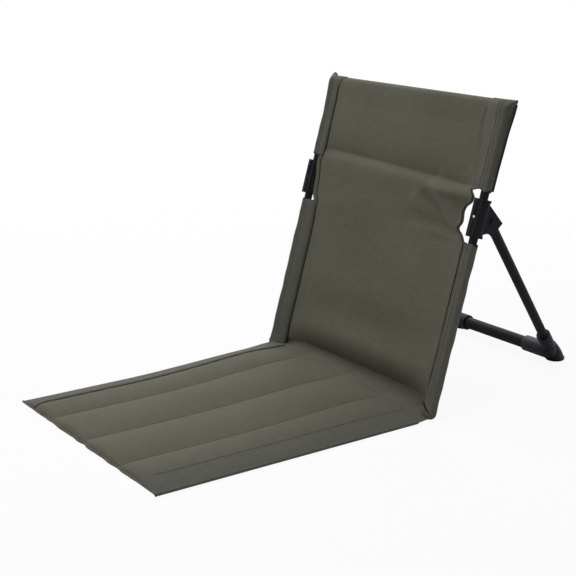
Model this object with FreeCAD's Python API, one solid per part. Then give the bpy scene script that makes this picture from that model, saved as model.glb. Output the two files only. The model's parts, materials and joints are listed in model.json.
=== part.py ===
import FreeCAD, Part
import math
import os

V = FreeCAD.Vector

# Frame: the origin is the middle of the seat mat's underside, X to the side, Y to the back, Z up.
X_AXIS = V(1, 0, 0)
Y_AXIS = V(0, 1, 0)
Z_AXIS = V(0, 0, 1)
SIDES = {"left": -1, "right": 1}

# Clearances
CLOTH_GAP = 0.3             # cloth to its neighbours
FIT_GAP = 0.1               # plugs, sockets and clamps on tubes, per side
PIN_GAP = 0.05              # running clearance of the pivot pins, per side
STOP_GAP = 0.4              # open strut to the stop wall of its bracket
OVERCUT = 1.0               # how far a cutting tool stands out of what it cuts

# Seat mat
SEAT_WIDTH = 420.0          # over the side bands
SEAT_DEPTH = 465.0          # front edge to the fold line
COVER = 1.5                 # thickness of one cover
BAND_WIDTH = 42.0           # side band, measured from the outer edge
BAND_HEIGHT = 9.0
BAND_EDGE = 3.5             # round of a band's outer edge, sideways
STITCH_STEP = 105.0         # between the three inner stitch lines
STITCH_FLAT = 2.0           # width that a stitch line presses flat
CHANNEL_RISE = 9.0          # crown of a channel over its stitch lines
CHANNEL_TAPER = 27.0        # length over which a channel swells, at its front and rear
CHANNEL_SWELL = [(0.0, 0.15), (0.4, 0.75), (1.0, 1.0)]     # share of the taper, share of the rise
BAND_SWELL_FRONT = [(0.0, 0.45), (1.0, 1.0)]               # share of the taper, share of the height
BAND_SWELL_REAR = [(1.4, 1.0), (0.5, 0.6)]
BAND_END_SWELL = 0.25       # height of a band's rear end, as a share
BAND_OUTER = 0.9            # height of a band at its outer edge, as a share
BAND_INNER = 0.6            # height of a band at its stitch line, as a share
FOAM_INSET = 8.0            # foam strip to the stitch line beside it
FOAM_GAP = 0.5              # foam strip to the cover above it
HEM_WIDTH = 6.0             # front hem, front to rear
HEM_HEIGHT = 4.5
HEM_FRONT_HEIGHT = 1.8      # height of the hem's front face
HEM_REAR_HEIGHT = 3.2
HEM_CROWN = 2.4             # front face to the top of the hem's round
FOLD_STRIP = 28.0           # cloth from the mat's rear seam to the fold line
FOLD_STRIP_HEIGHT = 5.0

# Back frame
BACK_LEAN = 16.1            # degrees back from upright
BACK_WIDTH = 426.0          # over the sleeves
BACK_LENGTH = 470.0         # fold line to the top of the hem, along the back
TUBE_R = 6.5
TUBE_WALL = 1.2
SLEEVE = 2.0                # thickness of a sewn sleeve
ELBOW_ARM = 14.0            # corner elbow, from its corner to a tube's end
PLUG_LENGTH = 22.0          # plugs of the elbows and caps inside the tubes
CAP_R = 8.4                 # round lower end of a tube cap, centred on the fold line
CAP_COLLAR = 4.0            # fold line to the lower end of the tube
SLEEVE_START = 9.5          # fold line to the lower end of a lower sleeve
SLEEVE_CUT = 11.0           # bare tube between a sleeve's end and the bracket
UPPER_FIN = 3.2             # sewn fin of an upper sleeve, standing out behind it
LOWER_FIN = 1.2
FIN_THICKNESS = 2.4
FIN_SIDE = 4.2              # middle of the fin, outwards from the tube axis
EAR_LENGTH = 9.5            # pointed cloth ear on a top corner
EAR_BASE_R = 5.0
EAR_TIP_R = 1.2
EAR_TURN = 55.0             # degrees outwards from the tube

# Back cloth
PANEL = 2.0                 # thickness of the back cloth
PANEL_SET = 5.0             # front face of the cloth's edges, ahead of the tube axis
FOLD_HEM_R = 5.0            # rolled hem on the fold line
CUTOUT_EDGE = 170.0         # half width of the cloth beside the brackets
CUTOUT_SLOPE = 14.0         # height over which a cut-out reaches its depth
BACK_SAG = 15.0             # how far the middle of the cloth hangs back
TOP_SAG = 3.0
FOLD_HEIGHT = 26.0          # valley of the fold above the seat
FOLD_DEPTH = 8.0
FOLD_SPREAD = 12.0
CREASE_DEPTH = 7.0          # soft ridge across the back at the top of the brackets
CREASE_SPREAD = 11.0
PANEL_STEPS = 22            # sections that the cloth is lofted through

# Brackets
BRACKET_LOW = 267.0         # lower end of a clamp, along the back from the fold line
BRACKET_HEIGHT = 57.0
CLAMP_R = 11.5
RIM_R = 12.5
RIM_HEIGHT = 4.0
RIDGE_R = 1.6               # moulded ridges up the front of a clamp
RIDGE_ANGLE = 38.0
PIVOT_HEIGHT = 295.0        # pivot pin, along the back from the fold line
PIVOT_BACK = 22.0           # pivot pin, behind the tube axis
PIN_R = 3.0
PIN_HEAD_R = 5.0
PIN_HEAD = 1.6
BOSS_R = 6.0
CHEEK = 3.0                 # thickness of a fork cheek
SLOT_OUT = 5.2              # fork slot, outwards from the tube axis
SLOT_IN = 13.8              # fork slot, inwards: the strut leans that way
SPINE = 3.8                 # stop wall along the back of the open strut
MOUTH = 16.5                # pivot to the mouth of the fork
LIP = 15.0                  # mouth of the fork, below the strut axis
ARCH = 4.0                  # height of the hollow under a cheek
BLOCK_LOW = 8.0             # clamp's lower end to the rear block of the fork
RIVET_R = 2.0
RIVET_HEAD_R = 4.2
RIVET_HEAD = 1.4
RIVET_SINK = 2.2            # depth of the recesses that the rivet heads lie in

# Leg
LEG_SPREAD = 57.8           # degrees between the back tubes and the open leg
LEG_TOE_IN = 13.4           # degrees that each strut leans inwards
STRUT_R = 7.5
STRUT_WALL = 1.2
STRUT_START = 13.0          # pivot to the strut's upper end
STRUT_LENGTH = 342.0
TONGUE = 9.0                # thickness of the tongue on the pivot pin
TONGUE_R = 7.3
COLLAR = 3.5                # shoulder of the head against the strut's end
HEAD_PLUG = 30.0
CROSSBAR_R = 10.25
CROSSBAR_WALL = 1.5
CROSSBAR_HEIGHT = 23.0      # axis above the floor
CROSSBAR_BACK = 331.0       # axis behind the fold line
CROSSBAR_BARE = 144.0       # length between the foot blocks
SOCKET = 30.0               # depth of a foot block's crossbar socket
STRUT_SOCKET = 38.0         # depth of a foot block's strut socket
BLOCK_WALL = 3.0
STRUT_BOSS_WALL = 4.0
FOOT_R = 16.0
FOOT_NECK_HEIGHT = 24.0     # floor to the top of the flared foot
PAD_HEIGHT = 5.0
PAD_EDGE = 1.5
SCREW_R = 1.6
SCREW_HEAD_R = 3.5
SCREW_HEAD = 2.0
SCREW_SINK = 2.5
SCREW_REACH = 3.0           # how far a screw stands into its tube

# Places that follow from the sizes above
FOLD_Y = SEAT_DEPTH / 2
SLEEVE_IN_R = TUBE_R + CLOTH_GAP
SLEEVE_R = SLEEVE_IN_R + SLEEVE
FOLD_Z = SLEEVE_R + 2 * CLOTH_GAP
TUBE_X = BACK_WIDTH / 2 - SLEEVE_R
RAIL_S = BACK_LENGTH - SLEEVE_R
UP_Y = math.sin(math.radians(BACK_LEAN))
UP_Z = math.cos(math.radians(BACK_LEAN))
UP = V(0, UP_Y, UP_Z)
REAR = V(0, UP_Z, -UP_Y)
MAT_FRONT = -SEAT_DEPTH / 2 + HEM_WIDTH + CLOTH_GAP
MAT_REAR = FOLD_Y - FOLD_STRIP
MAT_HALF = SEAT_WIDTH / 2 - BAND_WIDTH
STITCHES = [-MAT_HALF, -STITCH_STEP, 0.0, STITCH_STEP, MAT_HALF]
BRACKET_TOP = BRACKET_LOW + BRACKET_HEIGHT
LEG_TILT = math.radians(LEG_SPREAD - BACK_LEAN)
TOE_IN = math.radians(LEG_TOE_IN)
BLOCK_R = CROSSBAR_R + FIT_GAP + BLOCK_WALL
STRUT_BOSS_R = STRUT_R + FIT_GAP + STRUT_BOSS_WALL
MOUTH_X = CROSSBAR_BARE / 2


def back_point(x, rear, height):
    """Point on the back: sideways, behind the tube axis, and along the back from the fold line."""
    return V(x, FOLD_Y, FOLD_Z) + REAR * rear + UP * height


def pivot(side):
    """Centre of a bracket's pivot pin."""
    return back_point(side * TUBE_X, PIVOT_BACK, PIVOT_HEIGHT)


def strut_direction(side):
    """Unit vector down an open strut: inwards by the toe-in and rearwards by the leg's tilt."""
    down = V(0, math.sin(LEG_TILT), -math.cos(LEG_TILT))
    return X_AXIS * (-side * math.sin(TOE_IN)) + down * math.cos(TOE_IN)


def cylinder(radius, start, end):
    """Round bar between two points."""
    return Part.makeCylinder(radius, (end - start).Length, start, end - start)


def tube(radius, wall, start, end):
    """Hollow round bar between two points."""
    return cylinder(radius, start, end).cut(cylinder(radius - wall, start, end))


def outline(points):
    """Closed wire through a list of edges, where an edge is two points or the three of an arc."""
    edges = []
    for edge in points:
        if len(edge) == 2:
            edges.append(Part.makeLine(*edge))
        else:
            edges.append(Part.Arc(*edge).toShape())
    return Part.Wire(edges)


def fuse(shapes):
    """One solid from overlapping solids."""
    return shapes[0].multiFuse(shapes[1:]).removeSplitter()


def group(shapes):
    """Several separate solids in one node."""
    return Part.makeCompound(shapes)


# Seat mat

def cover_section(y, rise):
    """Section of the quilted top cover: a crescent over each channel, flat at the stitch lines."""
    half_flat = STITCH_FLAT / 2

    def row(base):
        edges = [(V(STITCHES[0] - half_flat, y, base), V(STITCHES[0] + half_flat, y, base))]
        for left, right in zip(STITCHES, STITCHES[1:]):
            start = V(left + half_flat, y, base)
            crown = V((left + right) / 2, y, base + rise)
            end = V(right - half_flat, y, base)
            edges.append((start, crown, end))
            edges.append((end, V(right + half_flat, y, base)))
        return edges

    lower = row(COVER)
    upper = [edge[::-1] for edge in row(2 * COVER)[::-1]]
    right_end = (lower[-1][-1], upper[0][0])
    left_end = (upper[-1][-1], lower[0][0])
    return outline(lower + [right_end] + upper + [left_end])


def seat_top_cover():
    """Quilted cover whose channels swell behind the front hem and sink again to the rear seam."""
    front = [(MAT_FRONT + CHANNEL_TAPER * share, swell) for share, swell in CHANNEL_SWELL]
    rear = [(MAT_REAR - CHANNEL_TAPER * share, swell) for share, swell in CHANNEL_SWELL[::-1]]
    sections = [cover_section(y, CHANNEL_RISE * swell) for y, swell in front + rear]
    return Part.makeLoft(sections, True, True)


def seat_bottom_cover():
    """Flat lower cover, on the floor."""
    width = 2 * MAT_HALF + STITCH_FLAT
    return Part.makeBox(width, MAT_REAR - MAT_FRONT, COVER, V(-width / 2, MAT_FRONT, 0))


def foam_strip(left, right):
    """Crowned foam strip that fills one channel under the top cover."""
    half_channel = (right - left - STITCH_FLAT) / 2
    middle = (left + right) / 2
    half = half_channel - FOAM_INSET
    side = CHANNEL_RISE * (1 - (half / half_channel) ** 2) - FOAM_GAP
    y = MAT_FRONT + CHANNEL_TAPER
    low_left = V(middle - half, y, COVER)
    low_right = V(middle + half, y, COVER)
    high_right = low_right + Z_AXIS * side
    high_left = low_left + Z_AXIS * side
    crown = V(middle, y, COVER + CHANNEL_RISE - FOAM_GAP)
    section = outline([
        (low_left, low_right),
        (low_right, high_right),
        (high_right, crown, high_left),
        (high_left, low_left),
    ])
    length = MAT_REAR - MAT_FRONT - 2 * CHANNEL_TAPER
    return Part.Face(section).extrude(Y_AXIS * length)


def seat_band(side):
    """Padded side band: flat on the floor, round at its outer edge, thin at both ends."""
    inner = MAT_HALF + STITCH_FLAT / 2 + CLOTH_GAP
    front = [(MAT_FRONT + CHANNEL_TAPER * share, swell) for share, swell in BAND_SWELL_FRONT]
    rear = [(MAT_REAR - CHANNEL_TAPER * share, swell) for share, swell in BAND_SWELL_REAR]
    stations = front + rear + [(FOLD_Y - CAP_R - COVER, BAND_END_SWELL)]

    def section(y, swell):
        height = BAND_HEIGHT * swell
        outer = SEAT_WIDTH / 2 - BAND_EDGE * swell

        def at(x, z):
            return V(side * x, y, z)

        middle = (inner + outer) / 2
        return outline([
            (at(inner, 0), at(outer, 0)),
            (at(outer, 0), at(SEAT_WIDTH / 2, height * BAND_OUTER / 2), at(outer, height * BAND_OUTER)),
            (at(outer, height * BAND_OUTER), at(middle, height), at(inner, height * BAND_INNER)),
            (at(inner, height * BAND_INNER), at(inner, 0)),
        ])

    return Part.makeLoft([section(y, swell) for y, swell in stations], True, True)


def seat_front_hem():
    """Rolled hem along the front edge: flat below, an arc above."""
    half = SEAT_WIDTH / 2 - BAND_EDGE
    front = V(-half, -SEAT_DEPTH / 2, 0)
    rear = front + Y_AXIS * HEM_WIDTH
    rear_top = rear + Z_AXIS * HEM_REAR_HEIGHT
    crown = front + Y_AXIS * HEM_CROWN + Z_AXIS * HEM_HEIGHT
    front_top = front + Z_AXIS * HEM_FRONT_HEIGHT
    section = outline([
        (front, rear),
        (rear, rear_top),
        (rear_top, crown, front_top),
        (front_top, front),
    ])
    return Part.Face(section).extrude(X_AXIS * (2 * half))


def fold_strip():
    """Cloth behind the mat, with a round bed for the rolled hem that the back folds on."""
    half = MAT_HALF + STITCH_FLAT / 2
    start = MAT_REAR + CLOTH_GAP
    strip = Part.makeBox(
        2 * half, FOLD_Y + FOLD_HEM_R - start, FOLD_STRIP_HEIGHT, V(-half, start, 0))
    reach = half + OVERCUT
    bed = cylinder(FOLD_HEM_R + CLOTH_GAP, V(-reach, FOLD_Y, FOLD_Z), V(reach, FOLD_Y, FOLD_Z))
    return strip.cut(bed)


# Back cloth

def panel_half_width(height):
    """Half width of the back cloth: drawn in beside the brackets, full elsewhere."""
    seam = math.sqrt(SLEEVE_R ** 2 - (PANEL_SET - PANEL) ** 2)
    full = TUBE_X - seam - CLOTH_GAP
    low = BRACKET_LOW - SLEEVE_CUT
    high = BRACKET_TOP + SLEEVE_CUT
    inside = min(height - low, high - height) / CUTOUT_SLOPE
    share = min(max(inside, 0.0), 1.0)
    ease = share * share * (3 - 2 * share)
    return full - (full - CUTOUT_EDGE) * ease


def bump(height, centre, spread):
    """Bell curve of height 1."""
    return math.exp(-((height - centre) / spread) ** 2)


def panel_sag(height):
    """How far the middle of the cloth lies behind its edges: slack, the fold and the crease."""
    crease_height = BRACKET_TOP + SLEEVE_CUT
    slack = TOP_SAG + BACK_SAG * math.sin(math.pi * min(height / crease_height, 1.0))
    fold = FOLD_DEPTH * bump(height, FOLD_HEIGHT, FOLD_SPREAD)
    crease = CREASE_DEPTH * bump(height, crease_height, CREASE_SPREAD)
    return slack + fold - crease


def panel_section(height):
    """Thin crescent across the back at one height."""
    half = panel_half_width(height)
    sag = panel_sag(height)
    front = -PANEL_SET
    rear = PANEL - PANEL_SET
    return outline([
        (back_point(-half, front, height), back_point(0, front + sag, height), back_point(half, front, height)),
        (back_point(half, front, height), back_point(half, rear, height)),
        (back_point(half, rear, height), back_point(0, rear + sag, height), back_point(-half, rear, height)),
        (back_point(-half, rear, height), back_point(-half, front, height)),
    ])


def back_panel():
    """Back cloth, lofted from the rolled hem up to the top hem."""
    low = FOLD_HEM_R + CLOTH_GAP
    high = RAIL_S - SLEEVE_R - CLOTH_GAP
    step = (high - low) / PANEL_STEPS
    heights = [low + step * i for i in range(PANEL_STEPS + 1)]
    return Part.makeLoft([panel_section(height) for height in heights], True, True)


def fold_hem():
    """Rolled lower hem of the back cloth, on the fold line."""
    half = TUBE_X - SLEEVE_R - CLOTH_GAP - PANEL
    return cylinder(FOLD_HEM_R, V(-half, FOLD_Y, FOLD_Z), V(half, FOLD_Y, FOLD_Z))


def sleeve(side, low, high, fin_length):
    """Sewn cloth sleeve round a back tube, with the fin of its seam behind it."""
    x = side * TUBE_X
    start = back_point(x, 0, low)
    end = back_point(x, 0, high)
    inner = side * (TUBE_X + FIN_SIDE - FIN_THICKNESS / 2)
    reach = SLEEVE_R + fin_length
    corners = [(0, low), (reach, low), (reach, high), (0, high)]
    points = [back_point(inner, rear, height) for rear, height in corners]
    fin_outline = outline(list(zip(points, points[1:] + points[:1])))
    fin = Part.Face(fin_outline).extrude(X_AXIS * (side * FIN_THICKNESS))
    return fuse([cylinder(SLEEVE_R, start, end), fin]).cut(cylinder(SLEEVE_IN_R, start, end))


def top_hem():
    """Cloth round the top rail, between the corner pockets."""
    half = TUBE_X - ELBOW_ARM - CLOTH_GAP
    return tube(SLEEVE_R, SLEEVE, back_point(-half, 0, RAIL_S), back_point(half, 0, RAIL_S))


def corner_form(side, radius):
    """Round corner: two arms and a ball between them."""
    corner = back_point(side * TUBE_X, 0, RAIL_S)
    return fuse([
        cylinder(radius, corner, corner - UP * ELBOW_ARM),
        cylinder(radius, corner, corner - X_AXIS * (side * ELBOW_ARM)),
        Part.makeSphere(radius, corner),
    ])


def corner_pocket(side):
    """Cloth over a top corner, with the pointed ear that its seams make."""
    corner = back_point(side * TUBE_X, 0, RAIL_S)
    turn = math.radians(EAR_TURN)
    way = UP * math.cos(turn) + X_AXIS * (side * math.sin(turn))
    length = EAR_LENGTH + EAR_BASE_R
    ear = Part.makeCone(EAR_BASE_R, EAR_TIP_R, length, corner + way * (SLEEVE_R - EAR_BASE_R), way)
    return fuse([corner_form(side, SLEEVE_R), ear]).cut(corner_form(side, SLEEVE_IN_R))


# Back frame

def rivet_hole(side, radius):
    """Hole for a bracket's rivet, front to rear through clamp and tube."""
    x = side * TUBE_X
    return cylinder(radius, back_point(x, -RIM_R, PIVOT_HEIGHT), back_point(x, PIVOT_BACK, PIVOT_HEIGHT))


def back_tube(side):
    """Steel side tube, drilled for the bracket's rivet."""
    x = side * TUBE_X
    bar = tube(TUBE_R, TUBE_WALL, back_point(x, 0, CAP_COLLAR), back_point(x, 0, RAIL_S - ELBOW_ARM))
    return bar.cut(rivet_hole(side, RIVET_R + FIT_GAP))


def top_rail():
    """Steel tube between the two corner elbows."""
    half = TUBE_X - ELBOW_ARM
    return tube(TUBE_R, TUBE_WALL, back_point(-half, 0, RAIL_S), back_point(half, 0, RAIL_S))


def corner_elbow(side):
    """Plastic corner with a plug for each of its two tubes."""
    corner = back_point(side * TUBE_X, 0, RAIL_S)
    plug_r = TUBE_R - TUBE_WALL - FIT_GAP
    reach = ELBOW_ARM + PLUG_LENGTH
    return fuse([
        corner_form(side, TUBE_R),
        cylinder(plug_r, corner, corner - UP * reach),
        cylinder(plug_r, corner, corner - X_AXIS * (side * reach)),
    ])


def tube_cap(side):
    """Plastic end cap: a ball on the fold line and a plug up the tube."""
    centre = back_point(side * TUBE_X, 0, 0)
    seat = centre + UP * CAP_COLLAR
    ball = Part.makeSphere(CAP_R, centre)
    above = cylinder(2 * CAP_R, seat, seat + UP * CAP_R)
    plug = cylinder(TUBE_R - TUBE_WALL - FIT_GAP, centre, seat + UP * PLUG_LENGTH)
    return fuse([ball.cut(above), plug])


# Brackets

def fork_outline(side, inset):
    """Side view of a fork cheek at a sideways place: straight stop edge, mouth, and arched underside."""
    angle = math.radians(LEG_SPREAD)
    axis = V(math.sin(angle), -math.cos(angle), 0)
    across = V(math.cos(angle), math.sin(angle), 0)
    pin = V(PIVOT_BACK, PIVOT_HEIGHT, 0)
    stop = STRUT_R + STOP_GAP + SPINE
    tip = pin + axis * MOUTH + across * stop
    start = tip - axis * (tip.x / axis.x)
    lip = pin + axis * MOUTH - across * LIP
    foot = V(CLAMP_R / 2, BRACKET_LOW + RIM_HEIGHT, 0)
    middle = (lip + foot) * 0.5 + V(0, ARCH, 0)
    root = V(0, BRACKET_LOW + RIM_HEIGHT, 0)

    def at(point):
        return back_point(side * TUBE_X + side * inset, point.x, point.y)

    return outline([
        (at(root), at(start)),
        (at(start), at(tip)),
        (at(tip), at(lip)),
        (at(lip), at(middle), at(foot)),
        (at(foot), at(root)),
    ])


def fork_cheek(side, inset, thickness):
    """Plate of the fork, from a sideways place outwards."""
    return Part.Face(fork_outline(side, inset)).extrude(X_AXIS * (side * thickness))


def fork_spine(side):
    """Stop wall across the fork, behind the open strut."""
    down = V(0, math.sin(LEG_TILT), -math.cos(LEG_TILT))
    across = V(0, math.cos(LEG_TILT), math.sin(LEG_TILT))
    width = SLOT_OUT + SLOT_IN + 2 * CHEEK
    near = pivot(side) + across * (STRUT_R + STOP_GAP)
    reach = PIVOT_BACK / math.sin(math.radians(LEG_SPREAD))
    low = near + down * MOUTH
    high = near - down * (reach - CLAMP_R)
    shift = X_AXIS * (-side * (SLOT_IN + CHEEK))
    corners = [low, high, high + across * SPINE, low + across * SPINE]
    points = [corner + shift for corner in corners]
    section = outline(list(zip(points, points[1:] + points[:1])))
    return Part.Face(section).extrude(X_AXIS * (side * width))


def rear_block(side):
    """Solid part of a bracket between the clamp and the fork's two cheeks."""
    low = BRACKET_LOW + BLOCK_LOW
    high = BRACKET_TOP - BLOCK_LOW
    left = side * (TUBE_X - SLOT_IN - CHEEK)
    right = side * (TUBE_X + SLOT_OUT + CHEEK)
    points = [
        back_point(left, 0, low),
        back_point(left, CLAMP_R, low),
        back_point(left, CLAMP_R, high),
        back_point(left, 0, high),
    ]
    section = outline(list(zip(points, points[1:] + points[:1])))
    return Part.Face(section).extrude(X_AXIS * (right - left))


def bracket(side):
    """Moulded bracket: a clamp on the back tube and a fork for the strut's tongue."""
    x = side * TUBE_X
    low = back_point(x, 0, BRACKET_LOW)
    high = back_point(x, 0, BRACKET_TOP)
    pin = pivot(side)
    tongue_gap = TONGUE / 2 + CLOTH_GAP
    solids = [
        cylinder(CLAMP_R, low, high),
        cylinder(RIM_R, low, low + UP * RIM_HEIGHT),
        cylinder(RIM_R, high - UP * RIM_HEIGHT, high),
        rear_block(side),
        fork_cheek(side, SLOT_OUT, CHEEK),
        fork_cheek(side, -SLOT_IN - CHEEK, CHEEK),
        fork_spine(side),
        cylinder(BOSS_R, pin + X_AXIS * (side * tongue_gap), pin + X_AXIS * (side * (SLOT_OUT + CHEEK))),
        cylinder(BOSS_R, pin - X_AXIS * (side * tongue_gap), pin - X_AXIS * (side * (SLOT_IN + CHEEK))),
    ]
    for turn in (-RIDGE_ANGLE, 0.0, RIDGE_ANGLE):
        angle = math.radians(turn)
        place = X_AXIS * (CLAMP_R * math.sin(angle)) - REAR * (CLAMP_R * math.cos(angle))
        solids.append(cylinder(RIDGE_R, low + place, high + place))
    reach = X_AXIS * (SLOT_OUT + SLOT_IN + 2 * CHEEK)
    recess_r = RIVET_HEAD_R + FIT_GAP
    front = back_point(x, -CLAMP_R - RIDGE_R, PIVOT_HEIGHT)
    rear = back_point(x, CLAMP_R, PIVOT_HEIGHT)
    cuts = [
        cylinder(TUBE_R + FIT_GAP, low, high),
        cylinder(PIN_R + PIN_GAP, pin - reach, pin + reach),
        rivet_hole(side, RIVET_R + FIT_GAP),
        cylinder(recess_r, front, front + REAR * (RIVET_SINK + RIDGE_R)),
        cylinder(recess_r, rear - REAR * RIVET_SINK, rear + REAR * OVERCUT),
    ]
    body = fuse(solids)
    for cut in cuts:
        body = body.cut(cut)
    return body


def bracket_rivet(side):
    """Rivet that fixes a bracket to its tube, with a flat head in each recess."""
    x = side * TUBE_X
    front = back_point(x, -CLAMP_R + RIVET_SINK, PIVOT_HEIGHT)
    rear = back_point(x, CLAMP_R - RIVET_SINK, PIVOT_HEIGHT)
    return fuse([
        cylinder(RIVET_R, front - REAR * RIVET_HEAD, rear + REAR * RIVET_HEAD),
        cylinder(RIVET_HEAD_R, front - REAR * RIVET_HEAD, front),
        cylinder(RIVET_HEAD_R, rear, rear + REAR * RIVET_HEAD),
    ])


def pivot_pin(side):
    """Pin across the fork, with a flat head outside each cheek."""
    centre = pivot(side)
    inner = centre - X_AXIS * (side * (SLOT_IN + CHEEK))
    outer = centre + X_AXIS * (side * (SLOT_OUT + CHEEK))
    head = X_AXIS * (side * PIN_HEAD)
    return fuse([
        cylinder(PIN_R, inner - head, outer + head),
        cylinder(PIN_HEAD_R, inner - head, inner),
        cylinder(PIN_HEAD_R, outer, outer + head),
    ])


# Leg

def strut_point(side, distance):
    """Point on a strut's axis, from the pivot down."""
    return pivot(side) + strut_direction(side) * distance


def strut_head(side):
    """Plastic tongue on the pivot pin, with a shoulder and a plug for the strut."""
    centre = pivot(side)
    half = X_AXIS * (TONGUE / 2)
    plug_r = STRUT_R - STRUT_WALL - FIT_GAP
    hole = cylinder(PIN_R + PIN_GAP, centre - half * 2, centre + half * 2)
    trim = cylinder(TONGUE_R * 2, centre + half, centre + half * 2)
    other_trim = cylinder(TONGUE_R * 2, centre - half * 2, centre - half)
    neck = cylinder(plug_r, centre, strut_point(side, STRUT_START))
    head = fuse([
        cylinder(TONGUE_R, centre - half, centre + half),
        neck.cut(trim).cut(other_trim),
        cylinder(STRUT_R, strut_point(side, STRUT_START - COLLAR), strut_point(side, STRUT_START)),
        cylinder(plug_r, strut_point(side, STRUT_START - COLLAR), strut_point(side, STRUT_START + HEAD_PLUG)),
    ])
    return head.cut(hole)


def strut_end():
    """Distance from the pivot to a strut's lower end."""
    return STRUT_START + STRUT_LENGTH


def screw_place(side, which):
    """Bearing point of a screw's head on a foot block, and the way that the screw points."""
    if which == "crossbar":
        x = side * (MOUTH_X + SOCKET / 2)
        axis_point = V(x, FOLD_Y + CROSSBAR_BACK, CROSSBAR_HEIGHT)
        return axis_point - Z_AXIS * (BLOCK_R - SCREW_SINK), Z_AXIS, CROSSBAR_R
    across = V(0, math.cos(LEG_TILT), math.sin(LEG_TILT))
    axis_point = strut_point(side, strut_end() - STRUT_SOCKET / 2)
    return axis_point + across * (STRUT_BOSS_R - SCREW_SINK), across * -1, STRUT_R


def screw_depth(which):
    """Length of a screw's shank: through the block's wall and a little way into the tube."""
    wall = BLOCK_WALL if which == "crossbar" else STRUT_BOSS_WALL
    return wall + FIT_GAP - SCREW_SINK + SCREW_REACH


def screw(side, which):
    """Flat-headed screw."""
    place, way, _ = screw_place(side, which)
    return fuse([
        cylinder(SCREW_HEAD_R, place - way * SCREW_HEAD, place),
        cylinder(SCREW_R, place - way * SCREW_HEAD, place + way * screw_depth(which)),
    ])


def screw_hole(side, which):
    """Recess and hole for a screw."""
    place, way, tube_r = screw_place(side, which)
    recess = cylinder(SCREW_HEAD_R + FIT_GAP, place - way * (SCREW_SINK + SCREW_HEAD), place)
    hole = cylinder(SCREW_R + FIT_GAP, place - way * OVERCUT, place + way * tube_r)
    return fuse([recess, hole])


def strut(side):
    """Steel strut from the tongue's shoulder into the foot block."""
    bar = tube(STRUT_R, STRUT_WALL, strut_point(side, STRUT_START), strut_point(side, strut_end()))
    return bar.cut(screw_hole(side, "strut"))


def foot_centre(side):
    """Point on the floor in line with the strut."""
    top = pivot(side)
    way = strut_direction(side)
    return top - way * (top.z / way.z)


def foot_block(side):
    """Moulded corner of the leg: a crossbar socket, a strut socket and a flared foot."""
    axis_y = FOLD_Y + CROSSBAR_BACK
    mouth = V(side * MOUTH_X, axis_y, CROSSBAR_HEIGHT)
    end = strut_point(side, strut_end())
    elbow = V(end.x, axis_y, CROSSBAR_HEIGHT)
    floor_point = foot_centre(side)
    sole = floor_point + Z_AXIS * PAD_HEIGHT
    neck = strut_point(side, (FOOT_NECK_HEIGHT - pivot(side).z) / strut_direction(side).z)
    foot = Part.makeLoft([
        Part.Wire(Part.makeCircle(FOOT_R, sole, Z_AXIS)),
        Part.Wire(Part.makeCircle(STRUT_BOSS_R, neck, Z_AXIS)),
    ], True, True)
    solids = [
        cylinder(BLOCK_R, mouth, elbow),
        Part.makeSphere(BLOCK_R, elbow),
        cylinder(STRUT_BOSS_R, strut_point(side, strut_end() - STRUT_SOCKET), end),
        foot,
    ]
    cuts = [
        cylinder(CROSSBAR_R + FIT_GAP, mouth, mouth + X_AXIS * (side * SOCKET)),
        cylinder(STRUT_R + FIT_GAP, strut_point(side, strut_end() - STRUT_SOCKET - OVERCUT), end),
        screw_hole(side, "crossbar"),
        screw_hole(side, "strut"),
    ]
    body = fuse(solids)
    for cut in cuts:
        body = body.cut(cut)
    return body


def foot_pad(side):
    """Rubber sole with a rounded edge, flat on the floor."""
    floor_point = foot_centre(side)
    return fuse([
        Part.makeCone(FOOT_R - PAD_EDGE, FOOT_R, PAD_EDGE, floor_point, Z_AXIS),
        Part.makeCylinder(FOOT_R, PAD_HEIGHT - PAD_EDGE, floor_point + Z_AXIS * PAD_EDGE, Z_AXIS),
    ])


def crossbar():
    """Steel bar between the two foot blocks, drilled for their screws."""
    reach = X_AXIS * (MOUTH_X + SOCKET - FIT_GAP)
    middle = V(0, FOLD_Y + CROSSBAR_BACK, CROSSBAR_HEIGHT)
    bar = tube(CROSSBAR_R, CROSSBAR_WALL, middle - reach, middle + reach)
    for side in SIDES.values():
        bar = bar.cut(screw_hole(side, "crossbar"))
    return bar


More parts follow.
